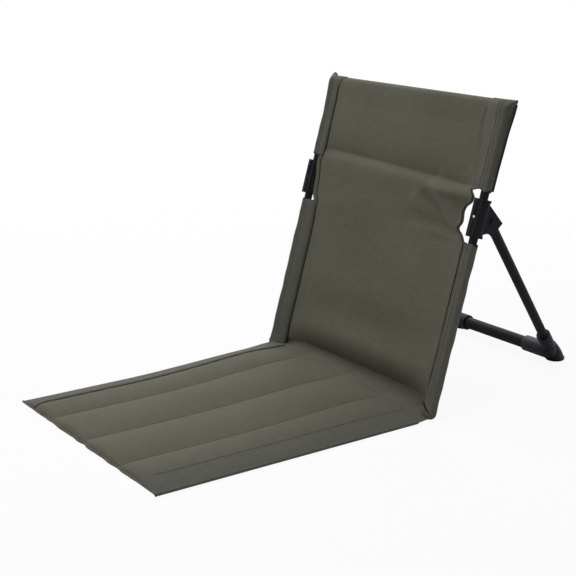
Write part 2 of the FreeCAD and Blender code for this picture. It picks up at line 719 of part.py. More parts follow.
def build():
    """Every piece of the chair, by its node's name."""
    parts = {
        "seat_bottom_cover": seat_bottom_cover(),
        "seat_top_cover": seat_top_cover(),
        "seat_front_hem": seat_front_hem(),
        "fold_strip": fold_strip(),
        "fold_hem": fold_hem(),
        "back_panel": back_panel(),
        "top_hem": top_hem(),
        "top_rail": top_rail(),
        "crossbar": crossbar(),
        "bracket_rivets": group([bracket_rivet(side) for side in SIDES.values()]),
        "foot_screws": group([screw(side, which) for side in SIDES.values() for which in ("crossbar", "strut")]),
    }
    for number, (left, right) in enumerate(zip(STITCHES, STITCHES[1:]), 1):
        parts[f"seat_foam_{number}"] = foam_strip(left, right)
    for name, side in SIDES.items():
        parts[f"seat_band_{name}"] = seat_band(side)
        parts[f"lower_sleeve_{name}"] = sleeve(side, SLEEVE_START, BRACKET_LOW - SLEEVE_CUT, LOWER_FIN)
        parts[f"upper_sleeve_{name}"] = sleeve(
            side, BRACKET_TOP + SLEEVE_CUT, RAIL_S - ELBOW_ARM - CLOTH_GAP, UPPER_FIN)
        parts[f"corner_pocket_{name}"] = corner_pocket(side)
        parts[f"back_tube_{name}"] = back_tube(side)
        parts[f"corner_elbow_{name}"] = corner_elbow(side)
        parts[f"tube_cap_{name}"] = tube_cap(side)
        parts[f"bracket_{name}"] = bracket(side)
        parts[f"pivot_pin_{name}"] = pivot_pin(side)
        parts[f"strut_head_{name}"] = strut_head(side)
        parts[f"strut_{name}"] = strut(side)
        parts[f"foot_block_{name}"] = foot_block(side)
        parts[f"foot_pad_{name}"] = foot_pad(side)
    return parts


os.makedirs("parts", exist_ok=True)
for node, shape in sorted(build().items()):
    shape.exportStep(f"parts/{node}.step")
    print(node, "solids", len(shape.Solids), "valid", shape.isValid(), "volume", round(shape.Volume))
print("pivot", pivot(1), "foot", foot_centre(1), "fold", FOLD_Y, FOLD_Z)
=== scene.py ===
# %% [markdown]
# A camping chair with no legs in front: a quilted mat lies on the ground, a cloth back is stretched on a
# tube frame, and a folding leg props it from behind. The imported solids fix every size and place. This
# lesson dresses them: the soft goods are new surfaces, and the hard pieces get new finishes.

# %% Load the frame
import json
import math

import bmesh
import bpy
import numpy as np
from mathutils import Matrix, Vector


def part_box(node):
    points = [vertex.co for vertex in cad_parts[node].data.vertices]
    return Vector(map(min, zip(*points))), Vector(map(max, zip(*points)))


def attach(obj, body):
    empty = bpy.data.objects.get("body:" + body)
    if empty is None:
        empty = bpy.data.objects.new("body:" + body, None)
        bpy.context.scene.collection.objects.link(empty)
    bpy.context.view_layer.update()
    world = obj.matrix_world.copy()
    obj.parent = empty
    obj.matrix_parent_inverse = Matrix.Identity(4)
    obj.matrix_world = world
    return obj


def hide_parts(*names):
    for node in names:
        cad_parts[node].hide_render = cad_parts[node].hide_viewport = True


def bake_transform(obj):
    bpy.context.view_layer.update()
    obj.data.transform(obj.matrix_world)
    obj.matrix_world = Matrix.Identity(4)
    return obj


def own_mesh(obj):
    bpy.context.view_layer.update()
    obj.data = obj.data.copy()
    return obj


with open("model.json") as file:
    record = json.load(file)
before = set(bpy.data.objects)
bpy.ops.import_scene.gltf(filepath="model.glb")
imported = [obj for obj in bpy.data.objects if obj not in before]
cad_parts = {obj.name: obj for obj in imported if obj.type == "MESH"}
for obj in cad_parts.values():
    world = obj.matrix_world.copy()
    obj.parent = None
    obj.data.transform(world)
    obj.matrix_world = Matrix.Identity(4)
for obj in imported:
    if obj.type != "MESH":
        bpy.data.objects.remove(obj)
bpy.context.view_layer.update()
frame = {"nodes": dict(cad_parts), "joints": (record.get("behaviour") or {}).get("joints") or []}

MM = 0.001                      # lengths below are in millimetres, and meshes in metres
joints = {joint["name"]: joint for joint in frame["joints"]}

# %% [markdown]
# The back leans, so its pieces are easier to write in its own directions: x to the side, s up along the
# tubes from the line that the back folds on, and d behind the middle of the tubes.

# %% Directions of the back
FOLD_Y, FOLD_Z = np.array(joints["back_fold"]["pos_m"][1:]) / MM
LEAN = math.radians(16.1)               # of the tubes from upright
TUBE_R = 6.5
TUBE_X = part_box("back_tube_right")[1].x / MM - TUBE_R
RAIL_S = 461.2                          # height of the top rail along the tubes


def on_back(x, s, d):
    """Points at x, s and d: s goes up the leaning tubes and d straight behind them."""
    x, s, d = np.broadcast_arrays(x, s, d)
    y = FOLD_Y + s * math.sin(LEAN) + d * math.cos(LEAN)
    z = FOLD_Z + s * math.cos(LEAN) - d * math.sin(LEAN)
    return np.stack([x, y, z], axis=-1)


def ease(share):
    """A step from 0 to 1 with no corner at either end: 3 t squared minus 2 t cubed."""
    share = np.clip(share, 0, 1)
    return share * share * (3 - 2 * share)


print("tubes at x", round(TUBE_X, 1), "fold line at y, z", FOLD_Y, round(FOLD_Z, 1))

# %% [markdown]
# The camera stands to the right of the chair and a little above the back, where the picture was taken. A
# long lens from two metres away keeps the seat from looking stretched.

# %% Camera
camera = bpy.data.objects.new("camera", bpy.data.cameras.new("camera"))
camera.data.lens = 79.46
camera.location = (1.52494, -0.94963, 0.68565)
CAMERA_TURN, CAMERA_DROP = math.radians(54.97), math.radians(15.38)
look = Vector((-math.sin(CAMERA_TURN) * math.cos(CAMERA_DROP),
               math.cos(CAMERA_TURN) * math.cos(CAMERA_DROP),
               -math.sin(CAMERA_DROP)))
camera.rotation_mode = "QUATERNION"
camera.rotation_quaternion = look.to_track_quat("-Z", "Y")
bpy.context.scene.collection.objects.link(camera)
bpy.context.scene.camera = camera
bpy.context.scene.view_settings.view_transform = "Standard"
print("camera looks along", [round(v, 3) for v in look])

# %% [markdown]
# Every new piece is a grid of points. Two grids of the same shape make the two faces of a cloth, and a
# strip of quads round their borders closes it. Each corner also gets a UV pair that measures the cloth
# in metres, so that a weave keeps its size wherever the cloth goes.

# %% Grids to meshes
def grid_quads(rows, columns, wrap=False):
    """Corner numbers of a grid's quads, where vertex number = row x columns + column."""
    number = np.arange(rows * columns).reshape(rows, columns)
    if wrap:
        number = np.hstack([number, number[:, :1]])
    corners = [number[:-1, :-1], number[:-1, 1:], number[1:, 1:], number[1:, :-1]]
    return np.stack(corners, axis=-1).reshape(-1, 4)


def make_piece(name, points, quads, corner_uv, material):
    """A mesh object at the origin: its doubles are merged and its faces turned outwards."""
    mesh = bpy.data.meshes.new(name)
    mesh.vertices.add(len(points))
    mesh.vertices.foreach_set("co", (points * MM).astype(np.float32).ravel())
    mesh.loops.add(quads.size)
    mesh.loops.foreach_set("vertex_index", quads.astype(np.int32).ravel())
    mesh.polygons.add(len(quads))
    mesh.polygons.foreach_set("loop_start", np.arange(0, quads.size, 4, dtype=np.int32))
    mesh.uv_layers.new(name="cloth").uv.foreach_set("vector", (corner_uv * MM).astype(np.float32).ravel())
    mesh.update(calc_edges=True)
    work = bmesh.new()
    work.from_mesh(mesh)
    bmesh.ops.remove_doubles(work, verts=work.verts, dist=1e-6)
    bmesh.ops.recalc_face_normals(work, faces=work.faces)
    work.to_mesh(mesh)
    work.free()
    mesh.polygons.foreach_set("use_smooth", np.ones(len(mesh.polygons), bool))
    mesh.materials.append(material)
    piece = bpy.data.objects.new(name, mesh)
    bpy.context.scene.collection.objects.link(piece)
    print(name, len(mesh.polygons), "faces")
    return piece


def two_skins(name, outer, inner, uv, material, wrap=False):
    """A closed cloth: a skin on each grid, joined by quads between their borders."""
    rows, columns = outer.shape[:2]
    number = np.arange(rows * columns).reshape(rows, columns)
    skin = grid_quads(rows, columns, wrap)
    if wrap:
        rims = [number[0], number[-1]]
    else:
        rims = [np.concatenate([number[0], number[1:, -1], number[-1, -2::-1], number[-2:0:-1, 0]])]
    far = rows * columns
    walls = [np.stack([rim, np.roll(rim, -1), np.roll(rim, -1) + far, rim + far], -1) for rim in rims]
    quads = np.concatenate([skin, skin[:, ::-1] + far, *walls])
    skin_uv = uv.reshape(-1, 2)[grid_quads(*uv.shape[:2])]
    plain_uv = uv[:, :columns].reshape(-1, 2)
    wall_uv = [plain_uv[wall % far] for wall in walls]
    corner_uv = np.concatenate([skin_uv, skin_uv[:, ::-1], *wall_uv])
    points = np.concatenate([outer.reshape(-1, 3), inner.reshape(-1, 3)])
    return make_piece(name, points, quads, corner_uv, material)


def steps(points, axis):
    """Running length along one axis of a grid of points, from 0 at its start."""
    legs = np.linalg.norm(np.diff(points, axis=axis), axis=-1)
    start = np.zeros_like(np.take(legs, [0], axis=axis))
    return np.cumsum(np.concatenate([start, legs], axis=axis), axis=axis)


def cloth_uv(points, wrap=False):
    """UV of a grid: running length across its columns and along its rows."""
    if wrap:
        points = np.concatenate([points, points[:, :1]], axis=1)
    return np.stack([steps(points, 1), steps(points, 0)], axis=-1)


def normals(points, wrap=False):
    """Unit normals of a grid: the cross product of its differences along and across."""
    along = np.gradient(points, axis=0)
    if wrap:
        across = np.roll(points, -1, axis=1) - np.roll(points, 1, axis=1)
    else:
        across = np.gradient(points, axis=1)
    normal = np.cross(across, along)
    return normal / np.maximum(np.linalg.norm(normal, axis=-1, keepdims=True), 1e-9)


# %% [markdown]
# The studio is a pale floor and soft light from above. Wide lamps hang overhead, at the left, in front
# and behind at the left, and none at the right, so the quilted channels shade from light to dark across
# the seat and the fold under the back stays dark. The camera and the shiny pieces see a white room:
# Light Path picks those rays out, and the others get a weak sky.

# %% Studio
SKY = 0.12
LAMP_SIZE = 1.6
LAMPS = {"left_lamp": ((-1.6, 0.0, 1.8), 15.0), "overhead_lamp": ((0.0, 0.1, 2.5), 16.0),
         "front_lamp": ((0.0, -1.6, 1.9), 11.5), "rear_lamp": ((-1.5, 1.4, 1.4), 14.5)}
AIM = Vector((0, 0.1, 0.15))


def lamp(name, place, size, power):
    """A square area lamp that faces the chair."""
    light = bpy.data.lights.new(name, "AREA")
    light.size, light.energy = size, power
    holder = bpy.data.objects.new(name, light)
    holder.location = place
    holder.rotation_mode = "QUATERNION"
    holder.rotation_quaternion = (AIM - place).to_track_quat("-Z", "Y")
    bpy.context.scene.collection.objects.link(holder)


def node(tree, kind, sockets=(), **settings):
    """Adds a shader node with its settings, and fills its sockets with values or other nodes' outputs."""
    made = tree.nodes.new("ShaderNode" + kind)
    for name, value in settings.items():
        setattr(made, name, value)
    for name, value in dict(sockets).items():
        if isinstance(value, bpy.types.NodeSocket):
            tree.links.new(value, made.inputs[name])
        else:
            made.inputs[name].default_value = value
    return made


def white_room(strength):
    """A world that is white to camera, glossy and transmission rays, and a grey sky to the others."""
    world = bpy.data.worlds.new("white_room")
    bpy.context.scene.world = world
    world.use_nodes = True
    tree = world.node_tree
    rays = node(tree, "LightPath").outputs
    seen = node(tree, "Math", {0: rays["Is Camera Ray"], 1: rays["Is Glossy Ray"]}, operation="ADD")
    clear = node(tree, "Math", {0: seen.outputs[0], 1: rays["Is Transmission Ray"]}, operation="ADD",
                 use_clamp=True)
    level = node(tree, "MapRange", {"Value": clear.outputs[0], "To Min": strength, "To Max": 1.0})
    sky = tree.nodes["Background"]
    sky.inputs["Color"].default_value = (1, 1, 1, 1)
    tree.links.new(level.outputs[0], sky.inputs["Strength"])


white_room(SKY)
for name, (place, power) in LAMPS.items():
    lamp(name, Vector(place), LAMP_SIZE, power)
print("sky", SKY, "and", len(LAMPS), "lamps")

# %% [markdown]
# The floor is one square. A plain grey floor would end in a hard line, so it turns clear with distance
# and fades into the white room. What the camera sees of it is mostly plain white, with a light shadow
# left.

# %% Floor
FLOOR_SOLID, FLOOR_GONE = 0.9, 1.9     # metres from the middle: where the floor starts and ends its fade
FLOOR_GLOW = 0.92                      # share of plain white in what the camera sees of the floor


def floor_finish():
    """Pale matt floor, lightened for the camera, which fades to nothing with distance."""
    material = bpy.data.materials.new("pale_floor")
    material.use_nodes = True
    tree = material.node_tree
    tree.nodes.clear()
    place = node(tree, "TexCoord").outputs["Object"]
    length = node(tree, "VectorMath", {0: place}, operation="LENGTH").outputs["Value"]
    fade = node(tree, "MapRange", {"Value": length, "From Min": FLOOR_SOLID, "From Max": FLOOR_GONE},
                interpolation_type="SMOOTHSTEP").outputs[0]
    matt = node(tree, "BsdfDiffuse", {"Color": (0.93, 0.93, 0.93, 1)}).outputs[0]
    glow = node(tree, "Emission", {"Color": (1, 1, 1, 1)}).outputs[0]
    camera_ray = node(tree, "LightPath").outputs["Is Camera Ray"]
    share = node(tree, "Math", {0: camera_ray, 1: FLOOR_GLOW}, operation="MULTIPLY").outputs[0]
    seen = node(tree, "MixShader", {0: share, 1: matt, 2: glow}).outputs[0]
    gone = node(tree, "BsdfTransparent").outputs[0]
    edge = node(tree, "MixShader", {0: fade, 1: seen, 2: gone}).outputs[0]
    node(tree, "OutputMaterial", {"Surface": edge})
    return material


FLOOR_HALF, FLOOR_Z = 2000.0, -0.2     # half its width, and its height just below the chair
floor_edges = np.array([-FLOOR_HALF, FLOOR_HALF])
floor_points = np.stack([*np.meshgrid(floor_edges, floor_edges), np.full((2, 2), FLOOR_Z)], axis=-1)
floor = make_piece("floor", floor_points.reshape(-1, 3), grid_quads(2, 2), np.zeros((4, 2)), floor_finish())

# %% [markdown]
# All the cloth is one woven polyester in grey olive. Its yarns are a product of two sine waves in the UV
# of the cloth, with uneven yarns as stretched noise on top. Broad noise shifts the dye a little, as a
# dyed roll does, and a weak sheen lights the fibres at a flat angle. The back is a shade yellower than
# the mat, and the bands and the left sleeves are a shade greyer. The right sleeves get a lighter copy of
# that grey, which paints the light that falls on them.

# %% Cloth finish
YARN = 0.0011                   # metres from one yarn to the next but one
OLIVE = ((0.093, 0.094, 0.069, 1), (0.157, 0.158, 0.120, 1))           # quilt, dark and light yarns
BACK_OLIVE = ((0.098, 0.099, 0.070, 1), (0.166, 0.167, 0.122, 1))
GREY_OLIVE = ((0.085, 0.087, 0.068, 1), (0.144, 0.147, 0.118, 1))     # bands and left sleeves
# The right sleeves' olive is the grey olive made lighter: painted light on them.
LIT_SLEEVE_OLIVE = ((0.102, 0.104, 0.082, 1), (0.173, 0.176, 0.142, 1))     # right sleeves


def stretched_noise(tree, place, scale, detail=2.0):
    """Noise on coordinates that are scaled by their own amount each way, from 0 to 1."""
    mapped = node(tree, "Mapping", {"Vector": place, "Scale": scale}).outputs[0]
    return node(tree, "TexNoise", {"Vector": mapped, "Scale": 1.0, "Detail": detail}).outputs["Fac"]


def sum_of(tree, *terms):
    """Adds up pairs of an output and its weight."""
    total = None
    for socket, weight in terms:
        last = {0: socket, 1: weight, 2: 0.0 if total is None else total}
        total = node(tree, "Math", last, operation="MULTIPLY_ADD").outputs[0]
    return total


def blank_finish(name):
    """A new material, its node tree and its Principled shader."""
    material = bpy.data.materials.new(name)
    material.use_nodes = True
    return material, material.node_tree, material.node_tree.nodes["Principled BSDF"]


def cloth_finish(name, dark, light, roughness=0.82):
    """Woven cloth: yarns, uneven yarns, dye shades, and soft dents in the bump."""
    material, tree, shader = blank_finish(name)
    place = node(tree, "UVMap", uv_map="cloth").outputs[0]
    turn = 2 * math.pi / YARN
    phase = node(tree, "VectorMath", {0: place, 1: (turn, turn, 0)}, operation="MULTIPLY").outputs[0]
    split = node(tree, "SeparateXYZ", {0: phase})
    warp = node(tree, "Math", {0: split.outputs[0]}, operation="SINE").outputs[0]
    weft = node(tree, "Math", {0: split.outputs[1]}, operation="SINE").outputs[0]
    weave = node(tree, "Math", {0: warp, 1: weft}, operation="MULTIPLY").outputs[0]
    across = stretched_noise(tree, place, (50, 620, 1))
    along = stretched_noise(tree, place, (620, 50, 1))
    dye = stretched_noise(tree, place, (9, 7, 1), 4.0)
    grain = stretched_noise(tree, place, (380, 380, 1), 4.0)
    shade = sum_of(tree, (dye, 0.6), (across, 0.6), (along, 0.5), (grain, 0.6), (weave, 0.10))
    spread = node(tree, "MapRange", {"Value": shade, "From Min": 0.70, "From Max": 1.60}).outputs[0]
    mixed = node(tree, "Mix", {"Factor": spread, 6: dark, 7: light}, data_type="RGBA")
    tree.links.new(mixed.outputs[2], shader.inputs["Base Color"])
    height = sum_of(tree, (weave, 0.35), (across, 0.8), (along, 0.5), (grain, 0.3))
    yarns = node(tree, "Bump", {"Strength": 0.5, "Distance": 0.0006, "Height": height})
    dents = stretched_noise(tree, place, (34, 46, 1), 3.0)
    soft = node(tree, "Bump", {"Strength": 0.35, "Distance": 0.003, "Height": dents,
                               "Normal": yarns.outputs[0]})
    tree.links.new(soft.outputs[0], shader.inputs["Normal"])
    worn = node(tree, "MapRange", {"Value": grain, "To Min": roughness - 0.07, "To Max": roughness + 0.07})
    tree.links.new(worn.outputs[0], shader.inputs["Roughness"])
    shader.inputs["Specular IOR Level"].default_value = 0.22
    shader.inputs["Sheen Weight"].default_value = 0.10
    shader.inputs["Sheen Roughness"].default_value = 0.45
    return material


olive_cloth = cloth_finish("olive_cloth", *OLIVE)
back_olive = cloth_finish("back_olive", *BACK_OLIVE)
grey_olive = cloth_finish("grey_olive", *GREY_OLIVE)
painted_light_olive = cloth_finish("painted_light_olive", *LIT_SLEEVE_OLIVE)
print("cloth finish", len(olive_cloth.node_tree.nodes), "nodes")

# %% [markdown]
# The seat mat is two covers with foam strips between them, quilted by five rows of stitches from front
# to rear. A channel swells between its two rows, and thins out at both ends. The cover is a grid whose
# columns crowd together beside the rows, because the cloth bends most there.

# %% Mat form
STITCH_X = np.array([-168.0, -105.0, 0.0, 105.0, 168.0])
STITCH_Z = np.array([8.6, 6.4, 6.4, 6.4, 8.6])      # height of the cover where it is stitched down
CHANNEL_RISE = np.array([4.4, 7.6, 7.4, 4.6])       # crown of each channel over its rows
MAT_FRONT, MAT_REAR = -230.5, 221.0
MAT_END_Z = 3.0
FRONT_ROUND = 17.0                                  # length of the rounded front edge
REAR_SHARE, REAR_REACH = 0.34, 75.0                 # height left at the rear, and the length of the fall
CROWN_POWER, END_CROWN = 0.85, 0.22                 # fullness of a crown, and its share at the ends
LIFT_X, REAR_LIFT = [-170, -105, 0, 105, 172], [12.0, 12.0, 8.0, 7.0, 1.0]
LIFT_START, LIFT_RUN = -60.0, 285.0                 # where the mat starts to lift, and over what length
PER_CHANNEL = 26
across_channel = (1 - np.cos(np.linspace(0, np.pi, PER_CHANNEL + 1)[:-1])) / 2
mat_x = (STITCH_X[:-1, None] + np.diff(STITCH_X)[:, None] * across_channel).ravel()
mat_x = np.append(mat_x, STITCH_X[-1])
crown = np.append(np.tile(4 * across_channel * (1 - across_channel), 4), 0)
rise = np.append(np.repeat(CHANNEL_RISE, PER_CHANNEL), 0)
mat_y = np.linspace(MAT_FRONT, MAT_REAR, 150)


def mat_ends(y):
    """Share of the full height: a quarter circle up from 0 at the front, and a slow fall at the rear."""
    ahead = np.clip((y - MAT_FRONT) / FRONT_ROUND, 0, 1)
    fall = REAR_SHARE + (1 - REAR_SHARE) * ease((MAT_REAR - y) / REAR_REACH)
    return np.sqrt(1 - (1 - ahead) ** 2) * fall


def rear_lift(x, y):
    """Height by which the stretched back draws up the rear of the mat, most at its left corner."""
    return np.interp(x, LIFT_X, REAR_LIFT) * ease((y - LIFT_START) / LIFT_RUN)


def mat_top(fullness):
    """Cover over the channels: stitched height plus rise x crown, thinned to an edge at both ends."""
    share = mat_ends(mat_y)[:, None]
    seam = MAT_END_Z + (np.interp(mat_x, STITCH_X, STITCH_Z) - MAT_END_Z) * share
    height = seam + fullness * rise * crown ** CROWN_POWER * (END_CROWN + (1 - END_CROWN) * share)
    x, y = np.meshgrid(mat_x, mat_y)
    return np.stack([x, y, height + rear_lift(x, y)], axis=-1)


print("mat columns", len(mat_x), "rows", len(mat_y))

# %% [markdown]
# Foam under a tight cover lifts it as air would. A bulge from a formula alone looks too even, so the
# cover is simulated: it starts a little flat, its stitched lines are held, and the pressure of Blender's
# Cloth lifts the rest for twenty frames. No point may move further than the cap.

# %% Mat under pressure
SWELL_FRAMES, SWELL_PRESSURE, SWELL_CAP = 20, 4.0, 4.0


def swell(start, held):
    """Cloth under pressure from a grid of points, with the held ones pinned, moved by the cap at most."""
    cover = make_piece("cover_form", start.reshape(-1, 3), grid_quads(*start.shape[:2]),
                       np.zeros((grid_quads(*start.shape[:2]).size, 2)), olive_cloth)
    pins = cover.vertex_groups.new(name="held")
    pins.add(np.flatnonzero(held.ravel()).tolist(), 1.0, "REPLACE")
    cloth = cover.modifiers.new("swell", "CLOTH")
    cloth.settings.quality = 6
    cloth.settings.mass = 0.3
    cloth.settings.tension_stiffness = cloth.settings.compression_stiffness = 25
    cloth.settings.bending_stiffness = 1.5
    cloth.settings.vertex_group_mass = "held"
    cloth.settings.use_pressure = True
    cloth.settings.uniform_pressure_force = SWELL_PRESSURE
    cloth.settings.effector_weights.gravity = 0
    cloth.point_cache.frame_end = SWELL_FRAMES
    for frame_number in range(1, SWELL_FRAMES + 1):
        bpy.context.scene.frame_set(frame_number)
    swollen = cover.evaluated_get(bpy.context.evaluated_depsgraph_get()).data
    found = np.zeros(start.size, np.float32)
    swollen.vertices.foreach_get("co", found)
    bpy.context.scene.frame_set(1)
    bpy.data.objects.remove(cover)
    move = found.reshape(start.shape) / MM - start
    size = np.linalg.norm(move, axis=-1, keepdims=True)
    print("swelled by up to", round(float(size.max()), 2), "mm")
    return start + move * np.minimum(1, SWELL_CAP / np.maximum(size, 1e-6))


held = np.isin(mat_x, STITCH_X)[None, :] | (np.arange(len(mat_y)) % (len(mat_y) - 1) == 0)[:, None]
mat_cover = swell(mat_top(0.9), held)
print("highest crown", round(float(mat_cover[..., 2].max()), 1), "mm")

# %% [markdown]
# The thread of a stitched row gathers the cloth beside it, and draws the front edge in a little where it
# ends. Both are too fine for the simulation, so they are added to its result as sums of short waves.

# %% Seat quilt
PUCKER = 0.38                   # depth of the small gathers beside a row of stitches
PUCKER_START, PUCKER_REACH = 2.0, 16.0                  # how near the row they rise, and how far they run
FRONT_NOTCH, NOTCH_WIDE, NOTCH_LONG = 1.3, 9.0, 40.0    # how far a row of stitches draws the front edge in
FRONT_UNEVEN, UNEVEN_LONG = 0.6, 25.0                   # waves of the front edge
UNDER_Z, UNDER_LIFT = 0.4, 0.75                         # underside of the mat, and its share of the rear lift
wobble = np.random.default_rng(7)


def waves(place, lengths):
    """A sum of sine waves of the given lengths with seeded phases, from about -1 to 1."""
    phases = wobble.uniform(0, 2 * np.pi, len(lengths))
    turns = [np.sin(2 * np.pi * place / length + phase) for length, phase in zip(lengths, phases)]
    return sum(turns) / len(lengths) ** 0.5


def quilt_cover(cover):
    """The swollen cover with gathers along its rows, and its front edge drawn in where they end."""
    points = cover.copy()
    for row in STITCH_X:
        gap = np.abs(mat_x - row)[None, :]
        fade = np.exp(-gap / PUCKER_REACH) * (1 - np.exp(-gap / PUCKER_START))
        points[..., 2] += PUCKER * fade * waves(mat_y, [11.0, 19.0, 31.0, 53.0])[:, None]
        near_front = 1 - ease((mat_y - MAT_FRONT) / NOTCH_LONG)[:, None]
        points[..., 1] += FRONT_NOTCH * np.exp(-(gap / NOTCH_WIDE) ** 2) * near_front
    uneven = FRONT_UNEVEN * waves(mat_x, [31.0, 47.0, 90.0])[None, :]
    points[..., 1] += uneven * (1 - ease((mat_y - MAT_FRONT) / UNEVEN_LONG)[:, None])
    return points


quilt_top = quilt_cover(mat_cover)
quilt_under = quilt_top.copy()
quilt_under[..., 2] = UNDER_Z + UNDER_LIFT * rear_lift(quilt_top[..., 0], quilt_top[..., 1])
seat_quilt = two_skins("seat_quilt", quilt_top, quilt_under, cloth_uv(quilt_top), olive_cloth)
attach(seat_quilt, "seat")
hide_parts("seat_top_cover", "seat_bottom_cover", *[f"seat_foam_{n}" for n in range(1, 5)])

# %% [markdown]
# Bands, hems and piping are long pieces with one section. Each is made of loops of points that follow
# its length, and the rows of loops make a grid that is closed at both ends. A curve with a bevel would
# be quicker, but its section could not change along the way.

# %% Sweeps
def capped_sweep(name, loops, material, rounding=0):
    """A closed form along rows of loops, with each end row drawn in to its middle."""
    front, rear = loops[0].mean(axis=0), loops[-1].mean(axis=0)
    tips = [np.broadcast_to(tip, loops[:1].shape) for tip in (front, rear)]
    loops = np.concatenate([tips[0], loops, tips[1]])
    rows, columns = loops.shape[:2]
    quads = grid_quads(rows, columns, wrap=True)
    uv = cloth_uv(loops, wrap=True)
    corner_uv = uv.reshape(-1, 2)[grid_quads(*uv.shape[:2])]
    piece = make_piece(name, loops.reshape(-1, 3), quads, corner_uv, material)
    if rounding:
        smooth = piece.modifiers.new("rounding", "SUBSURF")
        smooth.levels = smooth.render_levels = rounding
    return piece


def loop_through(corners, counts):
    """A closed loop in each row: straight from each corner to the next, in the given numbers of steps."""
    following = corners[1:] + corners[:1]
    runs = []
    for start, end, count in zip(corners, following, counts):
        share = np.arange(count)[None, :, None] / count
        runs.append(start[:, None, :] * (1 - share) + end[:, None, :] * share)
    return np.concatenate(runs, axis=1)


# %% [markdown]
# A band of the same cloth binds each side of the mat. Its inner edge is folded under and lies on the
# cover, its outer edge goes round to the floor. One loop of points is carried from front to rear, so the
# band can thin out, gather along its stitches and lift towards the tube at the rear left.

# %% Side bands
BAND_LIP, BAND_EDGE = 164.8, 206.8      # inner fold and start of the outer round, from the middle of the seat
BAND_LIP_THICK, LIP_CLEAR = 2.0, 0.3    # thickness of that fold, and its gap to the cover
ROUND_WIDE, ROUND_THICK = 3.2, 2.2      # the outer round
BAND_LOW, LOW_SHARE = 0.3, 0.7          # height of the underside, and its share of the rear lift
RIGHT_CORNER = (2.5, 200.0, 24.0)       # more lift at the rear right: how much, from where, over what length
LEFT_CORNER = (2.5, 175.0, 51.0)        # the same for the underside at the rear left
BAND_FULL, BAND_GATHER = 0.7, 0.9       # swelling of the slope, and depth of the gathers along its stitches
GATHER_FADE = 3.5
BAND_STEPS = (2, 26, 4, 4, 8, 3, 3)
SIDES = ((-1, "left"), (1, "right"))
band_y = np.linspace(MAT_FRONT - 0.5, FOLD_Y, 172)


def corner_lift(height, start, length):
    """Lift of a band towards its rear corner: a step up over the given length."""
    return height * ease((band_y - start) / length)


BAND_LIFT = {-1: rear_lift(-170, band_y), 1: rear_lift(172, band_y) + corner_lift(*RIGHT_CORNER)}


def band_loops(side):
    """Loops of one band: folded lip on the cover, slope to the outer round, and the floor below."""
    lift = BAND_LIFT[side]
    seam = STITCH_Z[0] if side < 0 else STITCH_Z[-1]
    full = mat_ends(band_y)
    lip = MAT_END_Z + (seam - MAT_END_Z) * full + BAND_LIP_THICK + LIP_CLEAR + lift

    def at(x, z):
        x = np.broadcast_to(side * np.asarray(x, float), band_y.shape)
        return np.stack([x, band_y, np.broadcast_to(z, band_y.shape)], axis=-1)

    low = BAND_LOW + LOW_SHARE * lift + (side < 0) * corner_lift(*LEFT_CORNER)
    corners = [at(BAND_LIP + 0.5, lip - BAND_LIP_THICK), at(BAND_LIP, lip),
               at(BAND_EDGE, low + ROUND_THICK), at(BAND_EDGE + ROUND_WIDE, low + 1.2), at(BAND_EDGE, low),
               at(BAND_LIP + 5, low), at(BAND_LIP + 4, lip - BAND_LIP_THICK - 0.6)]
    loops = loop_through(corners, BAND_STEPS)
    share = np.linspace(0, 1, BAND_STEPS[1])[None, :]
    slope = slice(BAND_STEPS[0], BAND_STEPS[0] + BAND_STEPS[1])
    hill = np.sin(np.pi * share)
    gathers = waves(band_y, [11.0, 17.0, 29.0])[:, None] * np.exp(-share * GATHER_FADE) * hill
    loops[:, slope, 2] += BAND_FULL * hill + BAND_GATHER * gathers
    return loops


for side, word in SIDES:
    band = capped_sweep(f"side_band_{word}", band_loops(side), grey_olive, rounding=1)
    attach(band, "seat")
    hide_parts(f"seat_band_{word}")

# %% [markdown]
# The cut edges are rolled into thin hems: one along the front of the mat, and one along the lower edge
# of the right band, which ends in a small roll at the front corner. Each is a circle carried along its
# edge.

# %% Rolled hems
FRONT_ROLL_R, EDGE_ROLL_R = 1.9, 2.2
EDGE_ROLL_X, EDGE_ROLL_Z = BAND_EDGE + 1.6, 2.6
EDGE_ROLL_START, EDGE_ROLL_STOP, EDGE_ROLL_STEPS = -231, 205, 150
ROLL_END = np.array([(-230.8, 0.9), (-231.4, 1.2), (-233.0, 1.5), (-233.2, 2.0),
                     (-232.6, 2.6)])                    # y and radius


def round_loops(path, radius, first, second, count=16):
    """Circles round the points of a path, each turned by the two unit directions given."""
    angle = np.linspace(0, 2 * np.pi, count, endpoint=False)[None, :, None]
    radius = np.broadcast_to(radius, path.shape[:1])[:, None, None]
    return path[:, None, :] + radius * (np.cos(angle) * first + np.sin(angle) * second)


X, Y, Z = np.eye(3)
hem_x = np.linspace(-BAND_EDGE, BAND_EDGE, 220)
hem_y = np.interp(hem_x, mat_x, quilt_top[0, :, 1]) - 0.4
hem_path = np.stack([hem_x, hem_y, np.full_like(hem_x, FRONT_ROLL_R + 0.1)], axis=-1)
front_roll = capped_sweep("front_roll", round_loops(hem_path, FRONT_ROLL_R, Y, Z, 12), olive_cloth)
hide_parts("seat_front_hem")

straight_y = np.linspace(EDGE_ROLL_START, EDGE_ROLL_STOP, EDGE_ROLL_STEPS)
roll_y = np.concatenate([ROLL_END[:, 0], straight_y])
roll_r = np.concatenate([ROLL_END[:, 1], np.full(EDGE_ROLL_STEPS, EDGE_ROLL_R)])
roll_path = np.stack(np.broadcast_arrays(EDGE_ROLL_X, roll_y, EDGE_ROLL_Z), axis=-1)
edge_roll = capped_sweep("edge_roll_right", round_loops(roll_path, roll_r, X, Z, 14), grey_olive)
for hem in (front_roll, edge_roll):
    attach(hem, "seat")

# %% [markdown]
# The back is one sheet of cloth, cut out at both sides where the brackets stand. Its two edges are short
# lists of points, joined by straight lines and then averaged, because a cut edge is wavy but has no
# sharp corners.

